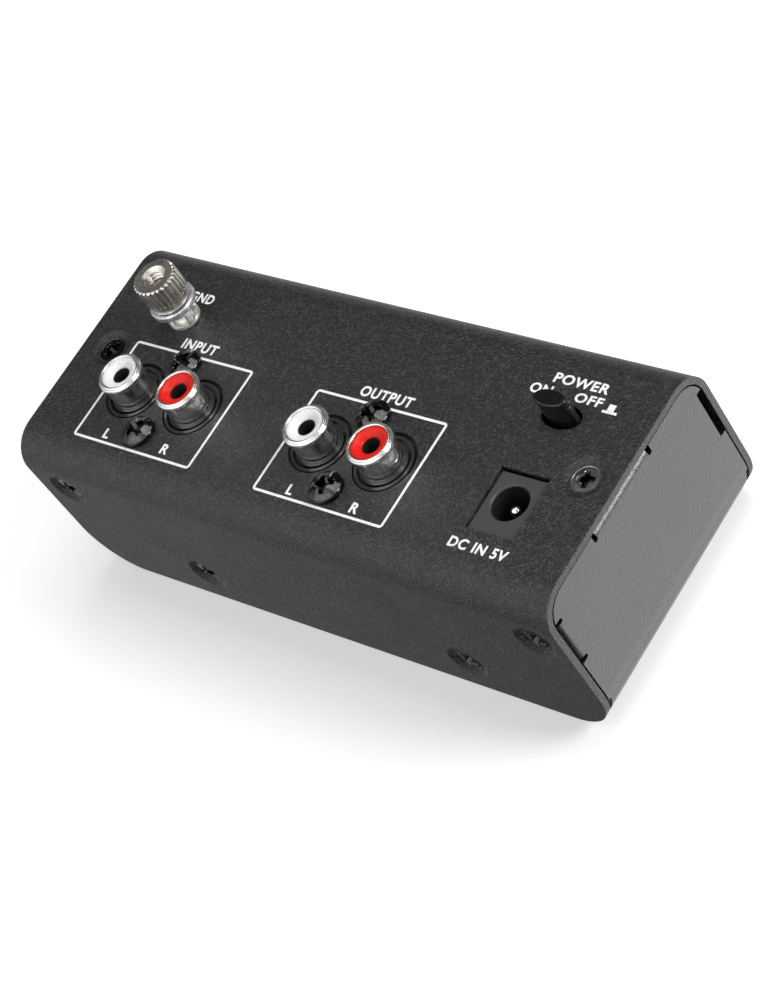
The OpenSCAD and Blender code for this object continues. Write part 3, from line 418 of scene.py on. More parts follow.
def coat_material(name, texture, roughness, shine, cut_ends):
    """Powder coat with a share of the full texture; with cut_ends, the sheet's cut ends are
    coated thinner and lighter."""
    finish = bpy.context.scene.preamp_finish
    made, tree, shader = new_material(name, roughness, shine=shine)
    grain = effect(tree, "Grain", Size=finish.coat_grain / MM)
    handling = effect(tree, "Handling", Size=14.0)
    # lighter grains in the coat's colour: grain tone and painted glints
    light = maths(tree, "MULTIPLY", grain["Light"], texture)
    shade = mix_colour(tree, light, tuple(finish.coat_colour), tuple(finish.coat_glint_grains))
    if cut_ends:
        cut = effect(tree, "Cut edge", Half=HALF_WIDTH)
        shade = mix_colour(tree, cut["Specks"], shade, (0.2, 0.2, 0.2, 1))
        shade = mix_colour(tree, cut["Face"], shade, tuple(finish.edge_colour))
    surface(tree, shader, shade, handling["Mask"], roughness - 0.03, roughness + 0.04,
            grain["Height"], finish.coat_depth * texture)
    return made


def plated_material(name, colour, roughness, ring_size=0.1, depth=0.004, drawn=0.0):
    """Plated round metal: tool rings or drawn streaks, and patches that are a little duller."""
    made, tree, shader = new_material(name, roughness, metallic=1.0)
    turning = effect(tree, "Turning", Size=ring_size, Drawn=drawn)
    handling = effect(tree, "Handling", Size=3.0)
    shade = mix_colour(tree, handling["Mask"], scaled(colour, 0.88), scaled(colour, 1.05))
    surface(tree, shader, shade, turning["Mask"], roughness * 0.8, roughness * 1.35,
            turning["Height"], depth * MM)
    return made


def grainy_metal_material(name, colour, roughness, grain):
    """Metal with a fine grainy face, as tumbled or blackened parts have."""
    made, tree, shader = new_material(name, roughness, metallic=1.0)
    marks = effect(tree, "Grain", Size=grain)
    handling = effect(tree, "Handling", Size=2.0)
    shade = mix_colour(tree, marks["Light"], scaled(colour, 0.85), scaled(colour, 1.35))
    surface(tree, shader, shade, handling["Mask"], roughness * 0.85, roughness * 1.25,
            marks["Height"], 0.006 * MM)
    return made


def moulded_material(name, colour, roughness, grain=0.12, depth=0.005, gloss=0.0, shine=0.5):
    """Moulded plastic with a fine sparked face."""
    made, tree, shader = new_material(name, roughness, coat=gloss, shine=shine)
    marks = effect(tree, "Grain", Size=grain)
    handling = effect(tree, "Handling", Size=4.0)
    shade = mix_colour(tree, marks["Light"], scaled(colour, 0.94), scaled(colour, 1.08))
    surface(tree, shader, shade, handling["Mask"], roughness * 0.9, roughness * 1.15,
            marks["Height"], depth * MM)
    return made


def shaded_socket_material(name, colour, roughness, grain, depth, middle, radius):
    """Moulding whose round socket, on a line along Y through middle, is painted near black
    inside: painted shade in the socket's bore.
    """
    made = moulded_material(name, colour, roughness, grain, depth)
    tree = made.node_tree
    base = tree.nodes["Principled BSDF"].inputs["Base Color"]
    face = base.links[0].from_socket
    where = axes(tree, scaled_place(tree, 1.0))
    aside = maths(tree, "POWER", maths(tree, "SUBTRACT", where["X"], middle.x), 2.0)
    above = maths(tree, "POWER", maths(tree, "SUBTRACT", where["Z"], middle.z), 2.0)
    near = maths(tree, "LESS_THAN", maths(tree, "ADD", aside, above), radius ** 2)
    deep = maths(tree, "GREATER_THAN", where["Y"], middle.y + 0.1 * MM)
    # painted shade: faces of the bore behind the socket's mouth are coloured near black
    inside = maths(tree, "MULTIPLY", near, deep)
    tree.links.new(mix_colour(tree, inside, face, (0.003, 0.003, 0.003, 1)), base)
    return made


def board_material():
    """Solder mask over tracks."""
    made, tree, shader = new_material("solder_mask", 0.35, coat=0.2)
    tracks = node(tree, "ShaderNodeTexBrick")
    for label, value in (("Vector", scaled_place(tree, 0.25 / MM)), ("Scale", 1.0),
                         ("Mortar Size", 0.08), ("Color1", (0.012, 0.1, 0.035, 1)),
                         ("Color2", (0.016, 0.13, 0.045, 1)),
                         ("Mortar", (0.01, 0.065, 0.025, 1))):
        feed(tree, tracks.inputs[label], value)
    grain = effect(tree, "Grain", Size=0.3)
    shade = mix_colour(tree, grain["Light"], tracks.outputs["Color"], (0.03, 0.16, 0.06, 1))
    surface(tree, shader, shade, grain["Height"], 0.28, 0.42, tracks.outputs["Fac"], 0.03 * MM)
    return made


def can_material(name, sleeve, stripe):
    """Capacitor in a shrunk sleeve with a plain stripe down one side and a bare top."""
    made, tree, shader = new_material(name, 0.3)
    normal = axes(tree, coordinates(tree, "Normal"))
    grain = effect(tree, "Grain", Size=0.25)
    side = maths(tree, "LESS_THAN", normal["X"], -0.8)
    top = maths(tree, "GREATER_THAN", normal["Z"], 0.7)
    shade = mix_colour(tree, grain["Light"], sleeve, scaled(sleeve, 1.3))
    shade = mix_colour(tree, side, shade, stripe)
    shade = mix_colour(tree, top, shade, (0.6, 0.6, 0.61, 1))
    surface(tree, shader, shade, grain["Height"], 0.22, 0.4, grain["Height"], 0.004 * MM)
    return made


def banded_material(name, node_name, body, bands):
    """Lacquered body that lies along Y, with colour bands; the leads beyond it are tinned."""
    made, tree, shader = new_material(name, 0.3, coat=0.3)
    low, high = box(node_name)
    along = map_range(tree, axes(tree, scaled_place(tree, 1.0))["Y"], low.y, high.y)
    tin = (0.6, 0.6, 0.6, 1)
    body_start, body_end = 0.17, 0.83
    band_start, band_end, band_pitch = 0.26, 0.32, 0.13
    stops = [(body_start, body)]
    for i, band in enumerate(bands):
        stops += [(band_start + band_pitch * i, band), (band_end + band_pitch * i, body)]
    stops.append((body_end, tin))
    ramp = node(tree, "ShaderNodeValToRGB")
    ramp.color_ramp.interpolation = "CONSTANT"
    ramp.color_ramp.elements[0].color = tin
    ramp.color_ramp.elements[1].position, ramp.color_ramp.elements[1].color = stops[0]
    for position, shade in stops[1:]:
        ramp.color_ramp.elements.new(position).color = shade
    tree.links.new(along, ramp.inputs[0])
    grain = effect(tree, "Grain", Size=0.2)
    shade = mix_colour(tree, grain["Light"], ramp.outputs["Color"], scaled(body, 1.15))
    surface(tree, shader, shade, grain["Height"], 0.24, 0.38, grain["Height"], 0.006 * MM)
    return made


def lens_material():
    """Clear tinted lamp, a little milky."""
    made, tree, shader = new_material("lamp_lens", 0.12)
    shader.inputs["Transmission Weight"].default_value = 0.6
    shader.inputs["IOR"].default_value = 1.5
    grain = effect(tree, "Grain", Size=0.5)
    shade = mix_colour(tree, grain["Light"], (0.45, 0.62, 0.95, 1), (0.6, 0.74, 0.98, 1))
    surface(tree, shader, shade, grain["Height"], 0.08, 0.2, grain["Height"], 0.003 * MM)
    return made


def ink_material():
    """Screen print that lies over the coat's grain."""
    finish = bpy.context.scene.preamp_finish
    made, tree, shader = new_material("screen_print", 0.5)
    grain = effect(tree, "Grain", Size=finish.coat_grain / MM)
    shade = mix_colour(tree, grain["Light"], tuple(finish.ink_colour),
                       scaled(finish.ink_colour, 0.82))
    surface(tree, shader, shade, grain["Height"], 0.45, 0.6, grain["Height"],
            finish.coat_depth * 0.5)
    return made


def paint(mesh, material):
    mesh.materials.clear()
    mesh.materials.append(material)


def dress(material, *node_names):
    """Gives carried-over nodes their material."""
    for node_name in node_names:
        paint(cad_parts[node_name].data, material)


# ---- Mesh building ----

@contextmanager
def edited(mesh):
    """Opens a mesh for bmesh work and writes it back."""
    work = bmesh.new()
    work.from_mesh(mesh)
    yield work
    work.to_mesh(mesh)
    work.free()


def linked(name, data):
    """Object of some data, in the scene."""
    made = bpy.data.objects.new(name, data)
    bpy.context.scene.collection.objects.link(made)
    return made


def baked(blank):
    """Mesh of an object with its modifiers applied."""
    graph = bpy.context.evaluated_depsgraph_get()
    return bpy.data.meshes.new_from_object(blank.evaluated_get(graph))


def soften(blank, width, segments, least_angle):
    """Adds a bevel on the edges that are sharper than an angle in degrees."""
    bevel = blank.modifiers.new("soften", "BEVEL")
    bevel.width, bevel.segments = width, segments
    bevel.limit_method, bevel.angle_limit = "ANGLE", math.radians(least_angle)


def new_mesh(name, verts, faces):
    mesh = bpy.data.meshes.new(name)
    mesh.from_pydata(verts, [], faces)
    return mesh


def clean(mesh):
    """Joins doubled points and turns the faces outward."""
    with edited(mesh) as work:
        bmesh.ops.remove_doubles(work, verts=work.verts, dist=WELD)
        bmesh.ops.recalc_face_normals(work, faces=work.faces)


def new_piece(name, verts, faces, material, body="case", slot=None, sharp=35.0):
    """Mesh object from points in metres, shaded smooth below the sharp angle."""
    return finish_piece(name, new_mesh(name, verts, faces), material, body, sharp)


def finish_piece(name, mesh, material, body="case", sharp=35.0):
    clean(mesh)
    mesh.shade_smooth()
    mesh.set_sharp_from_angle(angle=math.radians(sharp))
    paint(mesh, material)
    piece = linked(name, mesh)
    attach(piece, body)
    return piece


def softened(corners, steps=4):
    """Path through [(depth, radius, softness)] with each corner rounded over its softness."""
    path = []
    for i, (depth, radius, soft) in enumerate(corners):
        here = Vector((depth, radius))
        if soft <= 0 or i in (0, len(corners) - 1):
            path.append((depth, radius))
            continue
        before = Vector(corners[i - 1][:2]) - here
        after = Vector(corners[i + 1][:2]) - here
        a = here + before.normalized() * min(soft, before.length * 0.49)
        b = here + after.normalized() * min(soft, after.length * 0.49)
        for k in range(steps + 1):
            t = k / steps
            point = a * (1 - t) ** 2 + here * 2 * t * (1 - t) + b * t ** 2
            path.append((point.x, point.y))
    return path


def round_point(at, angle, depth, half_w, half_h):
    """Point of a ring about Y; depth and the half sizes are in mm."""
    return (at[0] + half_w * MM * math.cos(angle), at[1] + depth * MM,
            at[2] + half_h * MM * math.sin(angle))


def ring_faces(rings, segments):
    """Faces between rings of points that follow each other."""
    faces = []
    for k in range(rings - 1):
        for i in range(segments):
            j = (i + 1) % segments
            faces.append((k * segments + i, k * segments + j,
                          (k + 1) * segments + j, (k + 1) * segments + i))
    return faces


def turned(path, segments, at, shape=None):
    """Points and faces of a piece turned about Y. The path holds (depth, radius) in mm, and depth
    grows into the case from the point at; shape(angle, depth, radius) may move a point of it."""
    verts = []
    for depth, radius in path:
        for i in range(segments):
            angle = 2 * math.pi * i / segments
            d, r = shape(angle, depth, radius) if shape else (depth, radius)
            verts.append(round_point(at, angle, d, r, r))
    return verts, ring_faces(len(path), segments)


def joined(*parts):
    """Joins (points, faces) pairs into one."""
    verts, faces = [], []
    for points, polygons in parts:
        start = len(verts)
        verts += points
        faces += [tuple(start + i for i in polygon) for polygon in polygons]
    return verts, faces


def block(low, high, soft=0.0):
    """Points and faces of a block with chamfered edges, in metres."""
    work = bmesh.new()
    bmesh.ops.create_cube(work, size=1.0)
    mid = [(a + b) / 2 for a, b in zip(low, high)]
    span = [b - a for a, b in zip(low, high)]
    for vert in work.verts:
        vert.co = Vector(m + c * s for m, c, s in zip(mid, vert.co, span))
    if soft:
        bmesh.ops.bevel(work, geom=list(work.edges), offset=soft, segments=2, profile=0.5,
                        affect="EDGES")
    work.verts.index_update()
    parts = ([tuple(v.co) for v in work.verts],
             [tuple(v.index for v in f.verts) for f in work.faces])
    work.free()
    return parts


def swung(verts, x, z, angle):
    """Points turned about a line along Y, from X towards Z."""
    c, s = math.cos(angle), math.sin(angle)
    return [(x + (px - x) * c - (pz - z) * s, py, z + (px - x) * s + (pz - z) * c)
            for px, py, pz in verts]


def strip_tail(low_z, x, y, width_x, width_y, top_z):
    """Solder tail of a replaced node, from its lowest point up to top_z."""
    return block((x - width_x / 2, y - width_y / 2, low_z),
                 (x + width_x / 2, y + width_y / 2, top_z), 0.05 * MM)


# ---- Screws ----

def recess_depth(x, z, head_d, arm, span, depth):
    """Depth of a cross recess at a point of the head, in mm. The arms widen towards the middle,
    their walls are steep and their ends slope up."""
    flare, wall_run, end_run = 0.3, 0.16, 0.45
    u, v = sorted((abs(x), abs(z)))
    reach = head_d * span / 2
    half = arm / 2 + flare * max(0.0, reach * 0.6 - v)
    wall = min(1.0, max(0.0, (half - u) / wall_run))
    end = min(1.0, max(0.0, (reach - v) / (reach * end_run)))
    return depth * wall * end ** 0.7


def screw_shape(head_d, crown, turn):
    """Shape for the face of a head: crown is its dome's height, and turn the recess's angle."""
    screws = bpy.context.scene.preamp_screws
    arm, depth = screws.arm / MM, screws.depth / MM

    def shape(angle, d, r):
        if d > crown + 1e-6:
            return d, r
        x, z = r * math.cos(angle + turn), r * math.sin(angle + turn)
        return d + recess_depth(x, z, head_d, arm, screws.span, depth), r

    return shape


def face_rings(head_r, crown, rings=26):
    """Rings of a domed face from its middle outward, (depth, radius)."""
    return [(crown * (k / rings) ** 2.2, head_r * k / rings) for k in range(rings + 1)]


def shank(start, stop):
    """Shank from its start to a chamfered tip, (depth, radius)."""
    tip = 0.4
    return [(start, SCREW_R), (stop - tip, SCREW_R), (stop, SCREW_R - tip), (stop, 0)]


def pan_screw(name, x, z, head_d, head_h, length, turn, material):
    """Pan-head screw whose head stands on the panel."""
    crown, head_r = head_h * 0.42, head_d / 2
    side = softened([(crown, head_r - 0.25, 0), (crown + 0.12, head_r, 0.2),
                     (head_h, head_r, 0.08), (head_h, SCREW_R, 0)])
    path = face_rings(head_r - 0.25, crown) + side[1:] + shank(head_h, head_h + length)[1:]
    parts = turned(path, 96, (x, PANEL_Y - head_h * MM, z), screw_shape(head_d, crown, turn))
    return new_piece(name, *parts, material, slot="black_screw")


def flush_screw(name, place, axis, head_d, length, turn, material, slot):
    """Countersunk screw; its face lies at place and its shank points along axis, Y or Z."""
    crown, head_r = 0.08, head_d / 2
    edge = [(0.02, head_r - 0.16), (0.0, head_r - 0.1), (0.01, head_r - 0.04), (0.1, head_r)]
    path = face_rings(head_r - 0.22, crown) + edge + shank(head_r - SCREW_R + 0.06, length)
    verts, faces = turned(path, 96, (0, 0, 0), screw_shape(head_d, crown, turn))
    if axis == "Z":
        verts = [(x, z, y) for x, y, z in verts]
    verts = [tuple(Vector(v) + Vector(place)) for v in verts]
    return new_piece(name, verts, faces, material, slot=slot)


def paint_bore_shade(piece, material, y, radius, middle):
    """Paints the faces of a bore or a recess that lie deeper than y with a second, dark material:
    painted shade where the hollow lies in shadow.
    """
    piece.data.materials.append(material)
    for face in piece.data.polygons:
        where = face.center
        reach = math.hypot(where.x - middle[0], where.z - middle[1])
        if where.y > y and reach < radius:
            face.material_index = 1


class PREAMP_OT_screws(bpy.types.Operator):
    """Machine screws of the case and of the jacks, with domed faces and cross recesses"""

    bl_idname = "preamp.screws"
    bl_label = "Screws"

    def execute(self, context):
        steel = context.scene.preamp_finish.black_steel_colour
        black = grainy_metal_material("black_steel", steel, 0.08, 0.6)
        # painted sheen: a copy of the black steel, four times lighter, stands for the reflections
        # on the right rear screw
        sheen_steel = grainy_metal_material("worn_black_steel", scaled(steel, 4.0), 0.26, 0.4)
        self.jack_screws(black)
        self.rear_screws(black, sheen_steel)
        for node_name in ("end_screws", "spacer_screws"):
            self.bottom_screws(node_name, black)
        return {"FINISHED"}

    def jack_screws(self, material):
        low, high = box("jack_screws")
        radius = JACK_SCREW_HEAD * MM / 2
        head_h = (PANEL_Y - low.y) / MM
        length = (high.y - PANEL_Y) / MM
        places = [(x, z) for x in (low.x + radius, high.x - radius)
                  for z in (low.z + radius, high.z - radius)]
        for i, ((x, z), turn) in enumerate(zip(places, (0.5, 0.2, 1.1, 0.8))):
            piece = pan_screw(f"jack_screw_{i + 1}", x, z, JACK_SCREW_HEAD, head_h, length, turn,
                              material)
            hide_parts("jack_screws")

    def rear_screws(self, left, right):
        low, high = box("rear_screws")
        head_d = (high.z - low.z) / MM
        z = (low.z + high.z) / 2
        # the right screw takes the lighter copy of the black steel, a painted sheen
        finishes = ((left, "black_screw"), (right, "rear_screw"))
        places = ends("rear_screws", (high.z - low.z) / 2)
        for i, (x, (material, slot)) in enumerate(zip(places, finishes)):
            piece = flush_screw(f"rear_screw_{i + 1}", (x, low.y, z), "Y", head_d,
                                (high.y - low.y) / MM, 0.3 + i, material, slot)
            # painted shade: the deep part of each recess takes the black steel, which darkens the
            # right screw's lighter recess
            paint_bore_shade(piece, left, low.y + 0.7 * MM, 2 * MM, (x, z))
            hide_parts("rear_screws")

    def bottom_screws(self, node_name, material):
        low, high = box(node_name)
        head_d = (high.y - low.y) / MM
        y = (low.y + high.y) / 2
        for i, x in enumerate(ends(node_name, (high.y - low.y) / 2)):
            piece = flush_screw(f"{node_name[:-1]}_{i + 1}", (x, y, low.z), "Z", head_d,
                                (high.z - low.z) / MM, 0.7 * i + 0.25, material, "black_screw")
            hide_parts(node_name)


# ---- Case ----

def soft_edged(node_name, radius):
    """Mesh of a folded sheet with its cut edges rounded."""
    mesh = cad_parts[node_name].data.copy()
    with edited(mesh) as work:
        bmesh.ops.remove_doubles(work, verts=work.verts, dist=0.002 * MM)
        bmesh.ops.dissolve_limit(work, angle_limit=math.radians(0.5), verts=work.verts,
                                 edges=work.edges)
    blank = linked(f"{node_name}_blank", mesh)
    soften(blank, radius, 3, 50)
    result = baked(blank)
    bpy.data.objects.remove(blank)
    return result


def even_normals(mesh, sharp):
    """Keeps flat faces flat where they run smoothly into a bend: a corner that touches one has
    its normal."""
    flat = {}
    for face in mesh.polygons:
        if max(abs(part) for part in face.normal) > 0.9999:
            for i in face.vertices:
                flat.setdefault(i, []).append(face.normal.copy())
    normals = [corner.vector.copy() for corner in mesh.corner_normals]
    for face in mesh.polygons:
        for i, k in zip(face.vertices, face.loop_indices):
            near = [n for n in flat.get(i, ())
                    if n.angle(face.normal, math.pi) < math.radians(sharp)]
            if near:
                normals[k] = near[0]
    mesh.normals_split_custom_set(normals)


class PREAMP_OT_case(bpy.types.Operator):
    """Folded sheets of the case, with rounded cut edges and a powder coat"""

    bl_idname = "preamp.case"
    bl_label = "Case"

    def execute(self, context):
        finish = context.scene.preamp_finish
        for side, texture, roughness, shine, cut_ends in (
                ("rear", 1.0, finish.coat_roughness, 0.4, True),
                ("front", 0.3, finish.coat_roughness * 0.72, 0.5, False)):
            node_name = f"{side}_shell"
            coat = coat_material(f"powder_coat_{side}", texture, roughness, shine, cut_ends)
            piece = finish_piece(f"{side}_sheet", soft_edged(node_name, finish.edge_round), coat,
                                 sharp=FLAT_ANGLE)
            even_normals(piece.data, FLAT_ANGLE)
            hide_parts(node_name)
        return {"FINISHED"}


# ---- Phono jacks ----

def sleeve_path(length, rim_r, bore_r, wall, roll):
    """Path of a contact sleeve: bore, rolled rim with a fine step round its face, straight
    barrel."""
    barrel_r = bore_r + wall
    return softened([
        (length, bore_r, 0), (0.3, bore_r, 0.1), (0.04, bore_r + 0.1, 0.08),
        (0.0, bore_r + 0.36, 0.1), (0.14, rim_r - 0.4, 0.05), (0.22, rim_r - 0.36, 0.03),
        (0.2, rim_r - 0.22, 0.06), (0.5, rim_r, 0.22), (roll - 0.35, rim_r, 0.14),
        (roll - 0.08, rim_r - 0.14, 0.07), (roll, barrel_r + 0.03, 0.03),
        (roll + 0.08, barrel_r, 0.05), (length, barrel_r, 0), (length, bore_r, 0)])


def tongue_line(at, side, radius, start, width, length):
    """Fine raised line round the sleeve's spring tongue: a U on the barrel, open towards the
    rim. The line's section is a square that stands on a corner."""
    steps, thick, corners = 8, 0.045, 4
    half_turn, straight = width / 2 / radius, length - width / 2
    points = [(-half_turn, start + straight * k / steps) for k in range(steps)]
    for k in range(2 * steps + 1):
        swing = math.pi * k / (2 * steps)
        points.append((-half_turn * math.cos(swing),
                       start + straight + width / 2 * math.sin(swing)))
    points += [(half_turn, start + straight * (1 - (k + 1) / steps)) for k in range(steps)]
    verts = []
    for i, (turn, depth) in enumerate(points):
        before, after = points[max(0, i - 1)], points[min(len(points) - 1, i + 1)]
        run = Vector(((after[0] - before[0]) * radius, after[1] - before[1])).normalized()
        for across, lift in ((-thick, 0.0), (0.0, thick), (thick, 0.0), (0.0, -thick)):
            angle = (0 if side > 0 else math.pi) + side * (turn + across * -run.y / radius)
            r = radius + lift
            verts.append(round_point(at, angle, depth + across * run.x, r, r))
    last = corners * (len(points) - 1)
    caps = [(0, 1, 2, 3), tuple(last + k for k in (3, 2, 1, 0))]
    return verts, ring_faces(len(points), corners) + caps


def insulator_path(bore_r, outer_r, length, shade_lining):
    """Path of an insulator: flat rim, shallow funnel, bore, back."""
    bore_end, back_r = 6.1, bore_r + 0.4
    # the bore has a ring of points at the depth where its painted shade begins
    return softened([
        (length, back_r, 0), (bore_end, back_r, 0), (bore_end, bore_r, 0.05),
        (shade_lining, bore_r, 0), (0.72, bore_r, 0.3), (0.16, outer_r - 0.85, 0.3),
        (0.0, outer_r - 0.4, 0.12), (0.0, outer_r, 0.06), (length, outer_r, 0),
        (length, back_r, 0)], steps=6)


class PREAMP_OT_jacks(bpy.types.Operator):
    """Sleeves, insulators and contacts of the four phono jacks, and the two mouldings behind"""

    bl_idname = "preamp.jacks"
    bl_label = "Phono jacks"

    def execute(self, context):
        finish = context.scene.preamp_finish
        nickel = plated_material("nickel_sleeve", finish.nickel_colour, 0.22, 0.5, 0.02, 1.0)
        tin = plated_material("tinned_contact", (0.6, 0.55, 0.4, 1), 0.3)
        tints = {"left": moulded_material("white_insulator", finish.white_colour, 0.32, 0.3,
                                          0.003, shine=0.3),
                 "right": moulded_material("red_insulator", finish.red_colour, 0.3, 0.3,
                                           0.003, shine=0.25)}
        black = moulded_material("jack_moulding", finish.moulding_colour, 0.26, 0.3, 0.004, 0.4)
        # painted shade: near black for the deep part of each jack's bore
        shade_lining = moulded_material("bore_lining", (0.004, 0.004, 0.004, 1), 0.8)
        for pair in PAIRS:
            dress(black, f"{pair}_jack_housing")
            for channel in CHANNELS:
                name = f"{pair}_{channel}"
                x, z, outer_r = self.insulator(name, channel, tints[channel], shade_lining)
                self.sleeve(context, name, channel, nickel, x, z, outer_r + 0.05)
                dress(tin, f"{name}_contact")
        return {"FINISHED"}

    def insulator(self, name, channel, tint, shade_lining):
        low, high = box(f"{name}_insulator")
        x, z = (low.x + high.x) / 2, (low.z + high.z) / 2
        outer_r = (high.x - low.x) / 2 / MM
        bore_r, shaded_from = 1.6, 0.95
        path = insulator_path(bore_r, outer_r, (high.y - low.y) / MM, shaded_from)
        piece = new_piece(f"{name}_funnel", *turned(path, 72, (x, low.y, z)), tint,
                          slot=f"{'white' if channel == 'left' else 'red'}_insulator")
        # paints the bore's deep faces near black: painted shade
        paint_bore_shade(piece, shade_lining, low.y + shaded_from * MM, (bore_r + 0.05) * MM, (x, z))
        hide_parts(f"{name}_insulator")
        return x, z, outer_r

    def sleeve(self, context, name, channel, material, x, z, bore_r):
        jacks = context.scene.preamp_jacks
        low, high = box(f"{name}_sleeve")
        side = -1 if channel == "left" else 1
        wall, roll = jacks.wall / MM, jacks.roll / MM
        barrel_r = bore_r + wall
        at = (x, low.y, z)
        path = sleeve_path((high.y - low.y) / MM, (high.z - z) / MM, bore_r, wall, roll)
        tail = strip_tail(low.z, x + side * (barrel_r - 0.2) * MM, PANEL_Y + 5 * MM, 0.4 * MM,
                          1.4 * MM, z)
        tongue = tongue_line(at, side, barrel_r, roll, jacks.tongue_width / MM,
                             jacks.tongue_length / MM)
        piece = new_piece(f"{name}_barrel", *joined(turned(path, 96, at), tail, tongue),
                          material, slot="nickel")
        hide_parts(f"{name}_sleeve")


# ---- Supply jack ----

class PREAMP_OT_supply_jack(bpy.types.Operator):
    """Moulding, domed centre pin and spring contact of the supply jack"""

    bl_idname = "preamp.supply_jack"
    bl_label = "Supply jack"

    def execute(self, context):
        finish = context.scene.preamp_finish
        dress(plated_material("spring_contact", (0.6, 0.58, 0.5, 1), 0.3),
              "supply_spring_contact")
        low, high = box("supply_pin")
        x = (low.x + high.x) / 2
        radius, sunk, steps = 1.0, 0.85, 8
        axis_z = high.z - radius * MM
        front = Vector((x, box("supply_jack")[0].y, axis_z))
        # the supply moulding has painted shade in its socket
        dress(shaded_socket_material("supply_moulding", scaled(finish.moulding_colour, 1.7), 0.55, 0.2,
                              0.008, front, 3.3 * MM), "supply_jack")
        dome = []
        for k in range(steps + 1):
            turn = math.pi / 2 * k / steps
            dome.append((radius * (1 - math.cos(turn)), radius * math.sin(turn)))
        end = (high.y - low.y) / MM - sunk - 0.2
        parts = turned(dome + [(end, radius), (end, 0)], 48, (x, low.y + sunk * MM, axis_z))
        tail = strip_tail(low.z, x, high.y - 0.2 * MM, 1.4 * MM, 0.4 * MM, high.z)
        pin = new_piece("supply_centre_pin", *joined(parts, tail),
                        plated_material("nickel_pin", finish.nickel_colour, 0.12, 0.2, 0.002),
                        slot="nickel")
        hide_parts("supply_pin")
        return {"FINISHED"}


# ---- Power button ----

def oval_loft(levels, at, half_w, half_h, segments=72):
    """Points and faces of an oval post, closed at both ends: levels hold (depth, inset) in mm."""
    verts = [round_point(at, 2 * math.pi * i / segments, depth, max(half_w - inset, 0),
                         max(half_h - inset, 0))
             for depth, inset in levels for i in range(segments)]
    last = (len(levels) - 1) * segments
    front, back = tuple(range(segments)), tuple(range(last, last + segments))
    return verts, [front] + ring_faces(len(levels), segments) + [back]


class PREAMP_OT_power_button(bpy.types.Operator):
    """Oval button cap with a soft edge and its key rib, and the switch behind it"""

    bl_idname = "preamp.power_button"
    bl_label = "Power button"

    def execute(self, context):
        finish = context.scene.preamp_finish
        cap = moulded_material("button_cap", finish.button_colour, 0.16, 0.3, 0.002, shine=0.3)
        low, high = box("power_button")
        x = centre("switch_body").x
        z = (low.z + high.z) / 2
        half_w, half_h = (x - low.x) / MM, (high.z - low.z) / 2 / MM
        face_inset, edge, steps = 1.1, 0.3, 6
        levels = [(0.0, face_inset)]
        for k in range(steps + 1):
            turn = math.pi / 2 * k / steps
            levels.append((edge * (1 - math.cos(turn)), edge * (1 - math.sin(turn))))
        levels.append(((high.y - low.y) / MM, 0.0))
        rib = block((x + (half_w - 0.9) * MM, low.y + 1.3 * MM, z - 0.5 * MM),
                    (high.x, high.y, z + 0.5 * MM), 0.1 * MM)
        post = oval_loft(levels, (x, low.y, z), half_w, half_h)
        piece = new_piece("button_cap", *joined(post, rib), cap, body="button",
                          slot="button_cap", sharp=50)
        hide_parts("power_button")
        dress(moulded_material("switch_moulding", finish.moulding_colour, 0.4), "switch_body")
        dress(moulded_material("natural_plastic", (0.75, 0.75, 0.72, 1), 0.35),
              "switch_plunger")
        self.spring(2.5 * MM)
        return {"FINISHED"}

    def spring(self, travel):
        """Copy of the wound spring."""
        wire = plated_material("spring_wire", (0.6, 0.6, 0.6, 1), 0.25)
        piece = finish_piece("return_spring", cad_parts["switch_spring"].data.copy(), wire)
        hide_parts("switch_spring")
        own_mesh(piece)


# ---- Ground post ----

def thread(root_r, depth, pitch):
    """Shape of a right-hand thread that advances into the case, where the path's radius is
    root_r. Its crests and roots are cut flat."""
    def shape(angle, d, r):
        if abs(r - root_r) > 1e-6:
            return d, r
        phase = (d / pitch + angle / (2 * math.pi)) % 1.0
        crest = 1 - abs(2 * phase - 1)
        return d, r + depth * min(1.0, max(0.0, crest * 1.35 - 0.15))
    return shape


def knurl(nut_r, grooves, groove_depth, start, end):
    """Shape of a straight knurl between two depths, on the surface of radius nut_r."""
    edge, half_groove = 0.35, 0.27

    def shape(angle, d, r):
        if r < nut_r - edge or not start <= d <= end:
            return d, r
        phase = (angle * grooves / (2 * math.pi)) % 1.0
        off = abs(phase - 0.5) / half_groove
        return d, r - groove_depth * max(0.0, 1 - off * off)
    return shape


def cut_windows(blank, cutters, bevel_width):
    """Cuts blocks out of a solid, all as (points, faces), and softens the edges; returns the
    mesh."""
    def solid(name, parts):
        mesh = new_mesh(name, *parts)
        clean(mesh)
        return linked(name, mesh)

    target = solid("foot_blank", blank)
    tools = [solid(f"foot_cutter_{i}", parts) for i, parts in enumerate(cutters)]
    for tool in tools:
        cut = target.modifiers.new("cut", "BOOLEAN")
        cut.object, cut.operation, cut.solver = tool, "DIFFERENCE", "EXACT"
    soften(target, bevel_width, 2, 40)
    mesh = baked(target)
    for made in [target] + tools:
        bpy.data.objects.remove(made)
    return mesh


